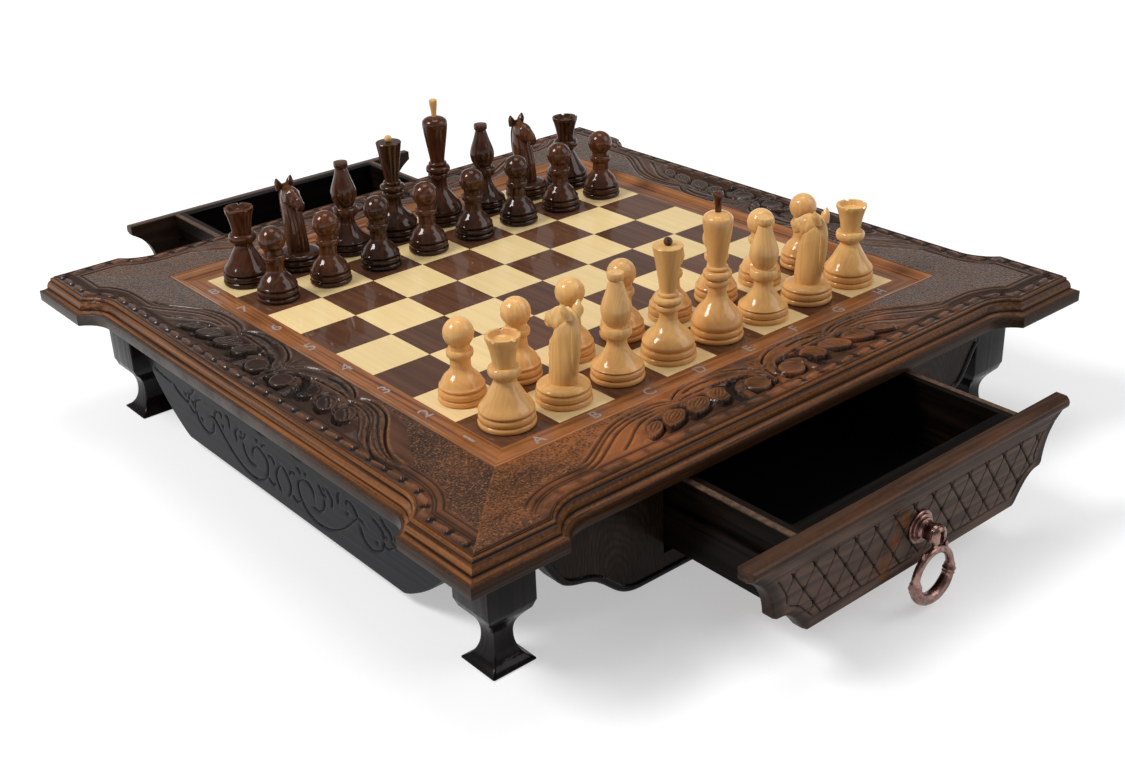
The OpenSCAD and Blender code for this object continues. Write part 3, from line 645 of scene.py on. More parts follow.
def king_outline():
    """Foot, three collars and domed crown of a king."""
    return np.vstack([
        foot(16.6, [[15.9, 10.2], [15.3, 13.0], [13.3, 16.9], [8.6, 22.6], [6.2, 26.4], [5.8, 30.0],
                    [6.0, 33.8]]),
        ring(6.0, 7.7, 34.1, 38.2),
        ring(6.2, 8.9, 38.7, 43.6),
        ring(5.4, 6.7, 44.0, 46.3),
        through([[5.2, 46.6], [5.7, 51.0], [7.2, 60.0], [8.6, 69.0], [9.2, 74.6], [8.7, 77.4], [6.3, 79.4],
                 [3.0, 80.2]], 30),
        [[0, 80.4]],
    ])


def turned(outline, k=1.0):
    """A man from its outline, with heights multiplied by k."""
    return lathe(outline * [1, k], size("turns"))


def at_squares(shape, files, rank, turn=0):
    """Copies of a man on the given files of a rank."""
    return [moved(shape, ((f - 3.5) * SQUARE, (rank - 3.5) * SQUARE, BOARD_Z), turn) for f in files]


def put_men(kind, shape, files, turn=0):
    """Light and dark men of one kind on their first ranks."""
    ranks = (1, 6) if kind == "pawns" else (0, 7)
    for side, rank, spin in zip(("light", "dark"), ranks, (turn, -turn)):
        body, wood = f"{side}_{kind}", f"{side}_men"
        put_mesh(f"{body}_turned", at_squares(shape, files, rank, spin), MATERIALS[wood], body, [body])


def put_finials(man, finial, outline, file):
    """The finial of the other wood on the light and on the dark man of a file."""
    shape = lathe(outline, FINIAL_TURNS)
    for side, other, rank in (("light", "dark", 0), ("dark", "light", 7)):
        body, wood = f"{side}_{man}", f"{other}_men"
        put_mesh(f"{other}_{finial}_turned", at_squares(shape, (file,), rank), MATERIALS[wood],
                 body, [f"{body}_{finial}"])


def grown(node, nominal):
    """How much taller a man is than its drawing."""
    return (high(node)[2] - BOARD_Z) / nominal


def loft(lower, upper, width, pinch=0.0, segments=40, steps=48, power=0.85):
    """Closed form between two lines of [forward, height]: each section is an ellipse that
    spans from the lower to the upper line and has its own half width; pinch narrows the
    upper side of every section."""
    lo, up = through(lower, steps), through(upper, steps)
    w = across(width, np.linspace(0, 1, steps))[:, None]
    a = round_angles(segments)
    c, s = (np.sign(v) * np.abs(v) ** power for v in (np.cos(a), np.sin(a)))
    mid, half = (lo + up) / 2, (lo - up) / 2
    side = w * s * (1 - pinch * (-c).clip(0))
    return capped(np.stack([mid[:, :1] + half[:, :1] * c, side, mid[:, 1:] + half[:, 1:] * c], -1))


def dent(shape, centre, radius, depth):
    """Pushes the points near a centre, on both sides, towards the middle plane by a bell
    curve: depth is positive for a hollow."""
    points = shape[0].copy()
    for side in (-1, 1):
        away = np.linalg.norm(points - np.multiply(centre, (1, side, 1)), axis=1)
        points[:, 1] -= side * depth * bell(away, 0, radius)
    return (points, *shape[1:])


def knight_shape(k):
    """A horse's neck and head in side view, as lofts of ellipses: the neck up to the poll,
    the head from the poll to the muzzle, a mane along the crest and two ears."""
    neck = loft([[7.6, 10.6], [8.3, 15], [8.2, 22], [7.2, 30], [5.4, 37], [3.2, 43], [0.5, 48]],
                [[-8.4, 10.6], [-10.4, 17], [-12.0, 26], [-13.0, 36], [-13.2, 45], [-12.4, 52], [-9.8, 56.8]],
                [8.0, 7.6, 7.0, 6.6, 6.4, 5.6, 3.4], 0.30)
    head = loft([[-7.5, 47], [-3, 43.6], [1.2, 42.8], [4.2, 43.8], [6.8, 43.2], [9.2, 42.0], [11.0, 42.6]],
                [[-10.6, 56.8], [-5.5, 57.8], [1.8, 57.0], [6.2, 54.4], [9.4, 52.2], [11.8, 50.4],
                 [12.6, 47.6]],
                [3.2, 5.2, 5.7, 4.5, 3.5, 3.3, 2.4], 0.22)
    eye, before_eye = ((1.5, 5.0, 53.6), 1.7, -0.8), ((4.6, 4.4, 51.6), 1.5, 0.6)
    nostril, mouth = ((11.4, 2.6, 49.0), 1.0, 0.75), ((9.6, 3.2, 45.6), 1.2, 0.85)
    cheek = ((-2.0, 5.4, 47.5), 3.2, -0.6)
    for feature in (eye, before_eye, nostril, mouth, cheek):
        head = dent(head, *feature)
    mane = loft([[-8.8, 20], [-10.2, 30], [-10.8, 40], [-10.4, 50], [-7.2, 56.6], [-2.8, 57.4]],
                [[-11.4, 19], [-13.4, 28], [-14.6, 38], [-14.5, 48], [-11.8, 56.4], [-6.4, 59.4]],
                [1.4, 2.8, 3.2, 3.1, 2.6, 1.0], 0.3, 24, 44)
    ears = []
    for side in (-1, 1):
        points, *faces = loft([[-6.4, 54.0], [-5.9, 58.8], [-7.6, 62.5]],
                              [[-12.6, 53.6], [-11.8, 59.0], [-9.6, 62.5]], [2.9, 2.4, 0.6], 0.0, 20, 16, 1.0)
        middle = side * (3.3 + 2.3 * (points[:, 2] - 54.0).clip(0) / 8.5)
        points[:, 1] += middle
        points[:, 0] -= 0.8 * (points[:, 0] + 9.0).clip(0) * bell(points[:, 1], middle, 1.25)
        ears.append((points, *faces))
    points, *faces = joined(neck, head, mane, *ears)
    stretch = (k * KNIGHT_H - NECK_FOOT) / (KNIGHT_H - NECK_FOOT)
    points[:, 2] = NECK_FOOT + (points[:, 2] - NECK_FOOT) * stretch
    return (points, *faces)


# ---------------------------------------------------------------- carving


def bow(a, b, c, d, count=12):
    """Cubic curve from a to d that leaves towards b and arrives from c."""
    t = np.linspace(0, 1, count)[:, None]
    a, b, c, d = (np.asarray(p, float) for p in (a, b, c, d))
    return (1 - t) ** 3 * a + 3 * t * (1 - t) ** 2 * b + 3 * t**2 * (1 - t) * c + t**3 * d


def nearest(x, y, path, steps=40, reach=9.0):
    """Distance from each point to a smooth path and the share of the path (0 to 1) at the
    nearest place: the least of the distances to the path's short straight steps."""
    line = through(path, steps)
    gap = np.full(x.shape, 99.0)
    along = np.zeros(x.shape)
    lo, hi = line.min(0) - reach, line.max(0) + reach
    near = (x > lo[0]) & (x < hi[0]) & (y > lo[1]) & (y < hi[1])
    px, py = x[near], y[near]
    best, share = np.full(px.shape, 99.0), np.zeros(px.shape)
    for i, (a, b) in enumerate(zip(line[:-1], line[1:])):
        d = b - a
        t = (((px - a[0]) * d[0] + (py - a[1]) * d[1]) / (d @ d)).clip(0, 1)
        gaps = np.hypot(px - a[0] - t * d[0], py - a[1] - t * d[1])
        closer = gaps < best
        best[closer], share[closer] = gaps[closer], ((i + t) / (steps - 1))[closer]
    gap[near], along[near] = best, share
    return gap, along


class Relief:
    """Height of a carved surface over its flat, with how dark each point is, painted shade in its cuts and
    hollows and in places darker wood, and how worn, wear with painted highlights on rims and crests.
    """

    def __init__(self, x, y):
        self.x, self.y = x, y
        self.z, self.dark_and_shade, self.wear_and_highlight, self.form = (np.zeros(x.shape) for _ in range(4))

    def sink(self, mask, depth, dark=0.8):
        """Lowers the ground where the mask is 1 and paints it dark as shade in the hollow."""
        self.z = np.minimum(self.z, -depth * mask)
        self.dark_and_shade = np.maximum(self.dark_and_shade, dark * mask)

    def cut(self, mask, depth, dark):
        """Takes a depth off whatever stands where the mask is 1, and paints the cut dark as shade."""
        self.z -= depth * mask
        self.dark_and_shade = np.maximum(self.dark_and_shade, dark * mask)

    def lay(self, inside, z, dark_and_shade, wear_and_highlight):
        """Puts a form over what is there."""
        self.z = np.where(inside, z, self.z)
        self.dark_and_shade = np.where(inside, dark_and_shade, self.dark_and_shade)
        self.wear_and_highlight = np.where(inside, wear_and_highlight, self.wear_and_highlight)
        self.form = np.where(inside, 1.0, self.form)

    def groove(self, path, depth=0.8, width=0.7, dark=0.8, pillow=0.35):
        """Cut line: a bell-shaped groove, painted dark as shade, with softly rounded shoulders beside it that
        take the wear and highlight mark.
        """
        d, t = nearest(self.x, self.y, path)
        ends = np.clip(np.minimum(t, 1 - t) * 12, 0.15, 1)
        self.z -= ends * (depth * bell(d, 0, width) + pillow * bell(d, 0, 3 * width))
        self.dark_and_shade = np.maximum(self.dark_and_shade, ends * dark * bell(d, 0, width))
        self.wear_and_highlight = np.maximum(self.wear_and_highlight, ends * 0.8 * bell(d, 2.2 * width, 0.8 * width))

    def raise_form(self, path, widths, top=0.15, power=0.5, edge=0.55, moat=0.0):
        """Raised form along a path: its width follows the path, and its section is an arch of the given power
        that stands on the ground, in a moat painted dark as shade to the given strength. Its foot is painted
        dark as shade, and its rim is made light with the wear and highlight mark."""
        d, t = nearest(self.x, self.y, path, reach=max(widths) + 3)
        w = across(widths, t)
        arch = np.clip(1 - (d / w) ** 2, 0, 1)
        self.cut(moat * bell(d - w, 0.5, 0.8) * (d > w) * (w > 1.5), 1.1, 1.0)
        shadow = np.clip(1 - arch * 3.0, 0, 1) * 0.7
        rim = edge * np.clip(arch * 4, 0, 1) * (1 - arch) ** 0.7
        self.lay(d < w, np.maximum(self.z, (top + GROUND) * arch**power - GROUND),
                 np.minimum(self.dark_and_shade, shadow), np.maximum(self.wear_and_highlight * 0.3, rim))

    def shell(self, centre, length, width, tilt, top=0.3, slope=0.25, rim=0.8, dish=0.45, tip=2.0):
        """Oval scale that lies over its neighbours: a moat outside its outer and lower edge painted dark as
        the scale's shadow, a rounded rim with a painted highlight that is strongest on one side, its own lower
        edge painted in shade, and a shallow dish inside that rises along the long axis. Below 2 the tip power
        draws the oval out to points."""
        c, n = math.cos(math.radians(tilt)), math.sin(math.radians(tilt))
        dx, dy = self.x - centre[0], self.y - centre[1]
        u, v = (dx * c + dy * n) / length, (dy * c - dx * n) / width
        rho = (np.abs(u) ** tip + (v - 0.35 * (2 - tip) * u**2) ** 2) ** (1 / 1.9)
        # painted shadow: the moat is darkest below the scale, on its outer side
        below = soft_step(v - 0.35 * u, -0.75, 0.15)
        moat = bell(rho, 1.10, 0.09 + 0.10 * below) * (rho > 1) * (0.2 + 0.8 * below)
        self.cut(moat, 1.4, 1.0)
        self.wear_and_highlight *= 1 - moat
        face = top - (1.1 + top) * soft_step(rho, 0.8, 1.0) ** 2
        face += slope * u - dish * (1 - rho.clip(0, 1) ** 2)
        # painted highlight along the rim, strongest on its inner side
        edge = bell(rho, 0.84, 0.08) * (0.4 + 0.6 * (-v).clip(0, 1))
        self.lay(rho < 1, face, (0.35 + 0.5 * below) * soft_step(rho, 0.9, 1.0), rim * edge)


# outline of a rail: the recess between two ears, and the cove that leads to each ear
EAR = 61.5
RECESS = 12.3
COVE_RUN = 20.5
COVE_R = (COVE_RUN**2 + RECESS**2) / (2 * RECESS)
COVE_X = HALF_OUT - EAR - COVE_RUN
HALF_RECESS = HALF_OUT - RECESS
# moulded edge: width of the reeds, the plain band below them, and the small steps between
MOULD_IN = 8.5
BAND_H = 7.2
SHOULDER = 0.8
FILLET = 1.2
RAIL_T = RAIL_TOP - STAND_H
# carving: depth of the ground, insets and pitch of the chain, and middle of the rosette
GROUND = 2.0
CHAIN_AT = 12.9
CHAIN_BEND = 12.5
CHAIN_PITCH = 15.2
ROSETTE = (37.0, 206.0)


def edge_inset(s, r):
    """Distance inwards from a rail's outer edge: to the straight edge of the recess or the
    ear, or to the arc of the cove, and the distance along the edge."""
    side, up = s - COVE_X, HALF_RECESS + COVE_R - r
    from_cove = np.hypot(side, up) - COVE_R
    inset = np.where(side > 0, np.minimum(HALF_OUT - r, from_cove), HALF_RECESS - r)
    chain_r = COVE_R + CHAIN_BEND
    turn_end = math.acos((chain_r - RECESS) / chain_r)
    arc_end = math.sqrt(RECESS * (2 * chain_r - RECESS))
    on_arc, on_ear = np.arctan2(side, up) * chain_r, turn_end * chain_r + side - arc_end
    past = np.where(from_cove < HALF_OUT - r, on_arc, on_ear)
    return inset, np.where(side < 0, s, COVE_X + past)


def carve_berries(carved):
    """Two broad bands with their stems, two split berries and a rosette of petals."""
    carved.raise_form([(151, 220), (133, 218.6), (120, 214), (107, 206), (97, 198), (88, 193), (75, 191),
                       (62, 195)], [1, 3.4, 4.2, 4.4, 4.4, 4.2, 4.0, 1.2], 0.3, 0.22, 0.7, 0.8)
    carved.raise_form([(120, 219), (108, 215), (98, 207), (90, 201), (80, 197.5), (66, 197.5)],
                      [1, 2.6, 3.2, 3.4, 3.2, 1.0], 0.2, 0.25, 0.7, 0.7)
    for stem in (
        [(152, 216.6), (135, 214.6), (122, 209.6), (109, 201), (98, 193), (88, 188.4), (74, 187.6), (60, 192)],
        [(150, 221), (131, 221.6), (116, 217), (104, 209.4), (95, 202), (86, 197.4), (72, 195), (62, 197)],
        [(147, 218.4), (130, 216), (117, 210.8), (105, 203.4), (96, 196.8), (87, 192.4), (75, 190.6)],
    ):
        carved.groove(stem, 0.8, 0.75)
    for centre, length, tilt in (((77, 206.2), 9.4, 38), ((57.8, 206.2), 9.6, 36)):
        carved.shell(centre, length, 6.8, tilt, 0.35, 0.0, 0.9)
        c = np.array(centre)
        fork = c + (1.5, -0.4)
        carved.groove([c + (6.6, 3.6), fork, c + (-4.6, -3.6)], 0.8, 0.6, 0.95, 0.1)
        carved.groove([fork, c + (3.4, -3.4)], 0.5, 0.5, 0.8, 0.0)
    x, y = ROSETTE
    carved.shell(ROSETTE, 8.4, 7.8, 30, 0.3, 0.0, 0.5)
    hub, turn = np.hypot(carved.x - x, carved.y - y), np.arctan2(carved.y - y, carved.x - x)
    petals = np.abs(np.sin(3.5 * turn + 0.5 * hub)) ** 0.6 * bell(hub, 0, 7.4, 6)
    carved.z -= 0.8 * (1 - petals) * bell(hub, 0, 7.2, 6)
    # painted shade between the petals
    carved.dark_and_shade = np.maximum(carved.dark_and_shade, (0.75 - petals).clip(0) * bell(hub, 0, 7.2, 6))


def carve_leaves(carved):
    """Four stems, and a row of leaves that overlap like scales, each with three veins."""
    for stem in (
        [(152, 216.4), (140, 211.6), (127, 203.2), (114, 195.8), (101, 191.8), (88, 190.6), (74, 191.4),
         (61, 196)],
        [(150, 213), (139, 207.6), (125, 199.2), (112, 192), (100, 188.4), (88, 187.4), (74, 188.2),
         (60, 194)],
        [(152, 219.8), (140, 216), (127, 208.4), (114, 200.4), (102, 195.6), (90, 193.8), (76, 194.4)],
        [(124, 217.4), (112, 210), (102, 203), (92, 198.4), (80, 197)],
    ):
        carved.groove(stem, 0.9, 0.8)
    carved.raise_form([(112, 218.2), (101, 209), (88, 201)], [1.2, 3.6, 4.4, 3.0, 1.0], 0.2, 0.5, 0.8)
    for centre, length, width, tilt in (((93.5, 209.0), 10.0, 4.6, 34), ((77.0, 206.6), 11.6, 6.4, 28),
                                        ((57.0, 205.2), 11.6, 6.8, 28), ((39.6, 204.2), 9.0, 7.6, 44)):
        carved.shell(centre, length, width, tilt, 0.35, 0.5, 0.95, 0.3, 1.45)
        ahead = np.array([math.cos(math.radians(tilt)), math.sin(math.radians(tilt))])
        beside = np.array([-ahead[1], ahead[0]])
        for lane in (-2.2, 0.2, 2.4):
            reach = ahead * length * (0.62 - 0.06 * abs(lane))
            vein = [reach + beside * lane * 0.4, beside * lane, beside * lane * 0.7 - reach]
            carved.groove(np.add(vein, centre), 0.32, 0.42, 0.55, 0.05)


def carve_scroll(carved):
    """The C scroll with its slits, the hook round the volute sunk and painted dark as shade, and the lobes
    that meet in the middle of the rail."""
    carved.raise_form([(66, 194.5), (55, 190.2), (43, 188.8), (30, 189.4), (18, 192.6), (9, 198.0), (4.2, 205),
                       (3.4, 213)], [0.8, 3.4, 4.8, 5.2, 4.8, 4.0, 3.0, 1.8], 0.45, 0.3, 0.8, 0.9)
    slit = [(64, 190.6), (53, 185.8), (42, 183.9), (29, 184.3), (16, 187.6), (6.6, 193.4), (1.4, 201)]
    carved.groove(slit, 0.7, 0.7, 0.8, 0.1)
    carved.groove([(56, 190.6), (44, 188.4), (31, 189.4)], 1.1, 0.9, 0.97, 0.1)
    carved.groove([(58, 193.8), (46, 194.4), (33, 194.6), (24, 197.0)], 0.6, 0.6, 0.75, 0.1)
    hook = [(33, 217.5), (33, 210), (30, 203.5), (23, 199.2), (15, 199.6), (9.4, 204)]
    off, t = nearest(carved.x, carved.y, hook)
    w = np.interp(t, [0, 0.3, 0.8, 1], [3.6, 3.2, 2.2, 0.8])
    carved.sink(soft_step(-off, -w, -w + 0.7), 2.6, 1.0)
    carved.shell((14.4, 210.2), 8.6, 8.0, 0, 0.4, 0.0, 0.9)
    carved.raise_form([(26.6, 218.5), (26.0, 213), (25.4, 208)], [2.6, 2.2, 1.0], -0.1, 0.5, 0.6)
    for lobe in ([(0, 199), (0, 186.6)], [(0, 199.5), (3.6, 193.5), (7.6, 189.6)],
                 [(0, 200), (5.2, 198.0), (9.6, 196.6)]):
        carved.raise_form(lobe, [1.2, 2.6, 0.5], 0.35, 0.45, 0.9)
    carved.raise_form([(0, 219.5), (0, 213)], [3.4, 1.4], 0.1, 0.5, 0.6)


def carve_chain(carved, inset, path, keep):
    """Chain of slanting links along the edge: within each pitch the link's half width is a
    power of a sine, its height a square root, and a notch parts it from the next."""
    lane = bell(inset, CHAIN_AT, 3.3, 8) * keep
    c = path / CHAIN_PITCH + 0.35
    c = c - np.floor(c)
    off = inset - CHAIN_AT + 0.5 * np.sin(2 * np.pi * c)
    body = 2.3 * np.sin(np.pi * (c / 0.8).clip(0, 1)) ** 0.7 + 0.03
    link = np.clip(1 - (off / body) ** 2, 0, 1)
    carved.z += lane * (-1.0 + 0.95 * np.sqrt(link))
    notch = soft_step(c, 0.70, 0.80) * (1 - soft_step(c, 0.93, 1.0))
    # painted shade in the gaps and notches, and a painted highlight on the top of each link
    gap = (1 - soft_step(link, 0.0, 0.35)) * (0.3 + 0.7 * notch)
    carved.dark_and_shade = np.maximum(carved.dark_and_shade, lane * gap)
    carved.wear_and_highlight = np.maximum(carved.wear_and_highlight * (1 - lane), lane * 0.5 * link**2)


def rail_relief(s, r, kind):
    """Carving of half a rail and its stippled ground. s is the distance from its middle, r
    from the board's middle; kind is leaves, berries, or worn: leaves, with little of the
    chain and of its border lines left on the ear."""
    carved = Relief(s, r)
    inset, path = edge_inset(s, r)
    worn = kind == "worn"
    # the ground under the leaves, beside the chain, sunk and painted dark as shade
    beside_chain = soft_step(r, 207.0, 210.5) * (1 - soft_step(r, 219.2, 220.2))
    carved.sink(beside_chain * (1 - soft_step(s, 92.0, 108.0)), GROUND, 0.55)
    if kind == "berries":
        carve_berries(carved)
    else:
        carve_leaves(carved)
    carve_scroll(carved)
    # border lines along the edge, each from its own start, painted dark as shade in the cut
    for at, start in ((8.9, -1), (16.9, -1), (18.6, 150), (22.6, 150)):
        live = soft_step(s, start - 4, start + 2) * (1 - worn * (at > 10) * soft_step(s, 192, 202))
        carved.cut(live * bell(inset, at, 0.75), 0.6, 0.85)
    carve_chain(carved, inset, path, 1 - worn * (0.5 + 0.5 * soft_step(s, 186, 198)))
    carved.wear_and_highlight = np.maximum(carved.wear_and_highlight, bell(r - s, 0, 0.6) * (0.8 if worn else 0.3))
    # stippled ground on the ears and inside the sweep of the stems
    sweep = np.interp(s, [58, 88, 100, 112, 125, 139, 150, 250],
                      [182, 186.6, 187.4, 190.8, 197.6, 206, 211.4, 300])
    ear = ((inset > 24.0) | (worn & (s > 196) & (inset > 10.0))) * 1.0
    pitted = np.where(s > 150, ear, soft_step(sweep - r, 0.4, 1.4))
    return carved, pitted * soft_step(r, HALF_IN + 0.4, HALF_IN + 1.4)


def rail_columns(inset, counts):
    """Points of a rail's edge at an inset, from its middle to its corner: a straight, the
    arc of the cove round its centre, and the straight ear."""
    straight, arc, ear = counts
    w = np.linspace(0, 1, straight, endpoint=False)
    a = np.linspace(0, 1, arc, endpoint=False) * math.acos((COVE_R - RECESS + inset) / (COVE_R + inset))
    start = COVE_X + math.sqrt(RECESS * (2 * (COVE_R + inset) - RECESS))
    e = np.linspace(start, HALF_OUT - inset, ear)
    x = np.concatenate([w * COVE_X, COVE_X + (COVE_R + inset) * np.sin(a), e])
    y = np.concatenate([np.full(straight, HALF_RECESS - inset),
                        HALF_RECESS + COVE_R - (COVE_R + inset) * np.cos(a), np.full(ear, HALF_OUT - inset)])
    return x, y


def moulding_line():
    """Section of the moulded edge, from the top's edge down to the foot of the band, as inset and height:
    three reeds laid on an ogee. Also the values of its points: painted shade in the grooves between the reeds,
    and wear with painted highlights on their crests."""
    t = np.linspace(1, 0, 25)
    ogee = t - np.sin(2 * np.pi * t) / (2 * np.pi)
    inset = 2 * SHOULDER + (MOULD_IN - 2 * SHOULDER) * t
    height = BAND_H + SHOULDER + (RAIL_T - FILLET - BAND_H - SHOULDER) * ogee
    reed = np.abs(np.sin(np.pi * 3 * t))
    arch = np.sin(np.pi * t).clip(0)
    slope = np.gradient(np.stack([inset, height], 1), axis=0)
    slope /= np.linalg.norm(slope, axis=1)[:, None]
    bulge = 0.75 * (reed**0.6 - 0.75) * arch**0.25
    reeds = np.stack([inset + bulge * slope[:, 1], height - bulge * slope[:, 0]], 1)
    top = [[MOULD_IN + 0.5, RAIL_T], [MOULD_IN + 0.1, RAIL_T - 0.4]]
    band = [[0.25, BAND_H + 0.35], [0.0, BAND_H], [0.0, BAND_H * 0.5], [0.0, 0.5], [0.4, 0.0]]
    return np.vstack([top, reeds, band]), {
        "dark_and_shade": [0, 0.2, *(bell(reed, 0, 0.35) * arch**0.2), 0.6, 0.25, 0.1, 0.1, 0.3],
        "wear_and_highlight": [0.3, 0.5, *(0.5 * reed**2), 0.5, 0.2, 0.0, 0.0, 0.2],
        "reed": [0, 0.5, *arch**0.15, *[0] * len(band)],
        "band": [0.0] * (len(top) + len(t)) + [1.0] * len(band),
    }


def rail_tones(name, near):
    """How strong the painted grey sheen on a rail is, how amber its wood, and how bright its reeds are, by the
    place along it from -1 to 1."""
    even = np.ones_like(near)
    tones = {
        # the first value of each rail is the painted grey sheen, where the glossy top would mirror the bright
        # backdrop
        "front": (soft_step(near, 0.25, 0.6), 1 - 0.7 * soft_step(near, 0.3, 0.7),
                  0.15 + 0.45 * soft_step(near, -0.7, -0.1) - 0.35 * soft_step(near, 0.45, 0.8)),
        "right": (0.9 * even, 0.15 * even, 0.25 * even),
        "back": (0.6 * even, 0.35 * even, 0.25 * even),
        "left": (1 - 0.78 * soft_step(near, 0.05, 0.5), 0.05 + 0.4 * soft_step(near, 0.35, 0.75), even),
    }
    return dict(zip(("painted_sheen", "warm", "glow"), tones[name]))


def half_rails():
    """Places and marks of half a rail for each kind of carving, on a grid whose columns run
    along the rail: rows of the top, lifted by the carving, then one row for each point of
    the moulded edge, and a last one under the inner edge."""
    counts, rows = (226, 34, 76), 76
    line, edge_marks = moulding_line()
    ex, ey = rail_columns(line[0, 0], counts)
    n = len(ex)
    v = np.linspace(1, 0, rows)[:, None]
    s = ex * (HALF_IN / (HALF_OUT - line[0, 0])) * v + ex * (1 - v)
    r = HALF_IN * v + ey * (1 - v)
    fade = soft_step(r, HALF_IN, HALF_IN + 1.5)

    def full(top, edge, last):
        return np.vstack([top, np.repeat([*edge, last], n).reshape(-1, n)])

    edges = [rail_columns(inset, counts) for inset in line[1:, 0]]
    x = np.vstack([s, *(edge[0] for edge in edges), s[0]])
    y = np.vstack([r, *(edge[1] for edge in edges), r[0]])
    halves = {}
    for kind in ("leaves", "berries", "worn"):
        carved, pitted = rail_relief(s, r, kind)
        halves[kind] = {"x": x, "y": y, "z": full(RAIL_TOP + carved.z * fade, STAND_H + line[1:, 1], STAND_H)}
        tops = {"dark_and_shade": carved.dark_and_shade * fade, "wear_and_highlight": carved.wear_and_highlight * fade, "pitted": pitted,
                "form": carved.form * fade, "reed": s * 0, "band": s * 0}
        for key, top in tops.items():
            edge = edge_marks.get(key, [0.0] * len(line))
            halves[kind][key] = full(top, edge[1:], 0.0)
    return halves


def carved_rails():
    """Shapes of the four rails with their marks: each joins two halves in the middle, its
    section closes round the underside, and both ends are closed on the mitre."""
    halves = half_rails()
    rails = {}
    for name, turn, left, right in (("front", 0, "worn", "leaves"), ("right", 90, "leaves", "leaves"),
                                    ("back", 180, "leaves", "leaves"), ("left", 270, "leaves", "berries")):
        marks = {}
        for key, half in halves[left].items():
            mirrored = half[:, :0:-1] * (-1 if key == "x" else 1)
            marks[key] = np.concatenate([mirrored, halves[right][key]], 1)
        x, y, z = (marks.pop(key) for key in "xyz")
        near = x / HALF_OUT
        marks |= rail_tones(name, near)
        if name == "left":
            marks["form"] = np.maximum(marks["form"], 0.62 * marks["pitted"] * soft_step(near, 0.2, 0.6))
        m, n = x.shape
        points = np.stack([x, -y, z], -1).reshape(-1, 3)
        first, last = (np.arange(m) * n + column for column in (0, n - 1))
        hubs = [points[loop].mean(0) + [0, 0, 1.0] for loop in (first, last)]
        caps = np.vstack([fan(first[::-1], m * n), fan(last, m * n + 1)])
        shape = (np.vstack([points, hubs]), strip(m, n, wrap_rows=True, flip=True), caps)
        rails[name] = moved(shape, turn=turn), {key: np.append(mark, [0, 0]) for key, mark in marks.items()}
    return rails


def strip_vector(web, where, squeeze=0.06):
    """Object coordinates squeezed along the strips of a square frame: along x in front and
    behind, along y at the sides, with the change on the mitres."""
    x, y, z = web.split(where)
    side = web.math("GREATER_THAN", web.math("ABSOLUTE", x), web.math("ABSOLUTE", y))
    x = web.times(x, web.line(side, 1 - squeeze, squeeze))
    y = web.times(y, web.line(side, squeeze - 1, 1.0))
    return web.joint(x, y, web.math("ADD", z, side))


def framed_wood(name, late, early, scale, gloss, coat, coat_roughness):
    """Plain wood of a mitred frame: the grain runs along each strip."""
    material, web, shader, where = new_material(name)
    colour, height = web.grain(strip_vector(web, where, 0.03), scale, late, early, 0.35)
    cloud = web.span(web.noise(where, 30.0, 3.0, 0.6), 0.4, 0.7, 0.0, 0.4)
    rough = web.span(height, 0.0, 1.0, gloss + 0.1, gloss)
    shade(web, shader, web.blend(cloud, colour, late), rough, height, 0.12,
          coat=coat, coat_roughness=coat_roughness)
    return material


def stained(web, where, colour, patch, stain):
    """Frame wood under its old finish: a dark stain on the carved forms, streaked reeds, and a dull band below
    them. Where the sheen mark is high, shade is painted on the smooth wood, and a grey sheen on the stippled
    ground and on the band."""
    form, painted_sheen, reed, band, glow, pits = web.marks("form", "painted_sheen", "reed", "band", "glow", "pitted")
    blotches = web.noise(where, 60.0, 3.0, 0.7)
    # painted light by the sheen mark: shade on the smooth wood here, a grey sheen on the stippled ground below
    sheen_zone_shade = web.times(web.times(painted_sheen, web.line(pits, -0.55, 0.55)), web.span(patch, 0.3, 0.6, 1.0, 0.4))
    colour = web.blend(sheen_zone_shade, colour, (0.020, 0.011, 0.008, 1))
    grey_sheen = web.times(web.times(painted_sheen, web.line(pits, 0.74, 0.14)), web.span(blotches, 0.25, 0.6, 0.5, 1.0))
    colour = web.blend(grey_sheen, colour, (0.105, 0.074, 0.058, 1))
    aside = web.span(glow, 0.65, 1.0)
    # the stain on the carved forms is stronger where the sheen mark is high and on the left rail
    hide = web.times(form, web.line(painted_sheen, 0.6, web.line(aside, 0.55, 0.3)), clamp=True)
    colour = web.blend(web.times(hide, web.span(patch, 0.34, 0.66, 1.0, 0.62)), colour, stain)
    lengthwise = web.vector("MULTIPLY", strip_vector(web, where, 0.016), (1.0, 1.0, 1.4))
    streak = web.noise(lengthwise, 460.0, 4.0, 0.55)
    bright = web.blend(glow, (0.085, 0.036, 0.016, 1), (0.27, 0.098, 0.026, 1))
    dim = web.blend(glow, (0.018, 0.007, 0.004, 1), (0.040, 0.013, 0.004, 1))
    colour = web.blend(reed, colour, web.blend(web.span(streak, 0.36, 0.66), dim, bright))
    rubbed_through = web.span(streak, 0.42, 0.68, 0.0, 0.5)
    dull = web.blend(rubbed_through, (0.020, 0.009, 0.005, 1), (0.085, 0.036, 0.014, 1))
    # painted grey sheen on the band of the left rail, where the sheen mark is high
    band_sheen = web.times(web.times(painted_sheen, aside), web.span(blotches, 0.3, 0.65, 0.3, 0.95))
    return web.blend(band, colour, web.blend(band_sheen, dull, (0.115, 0.100, 0.090, 1)))


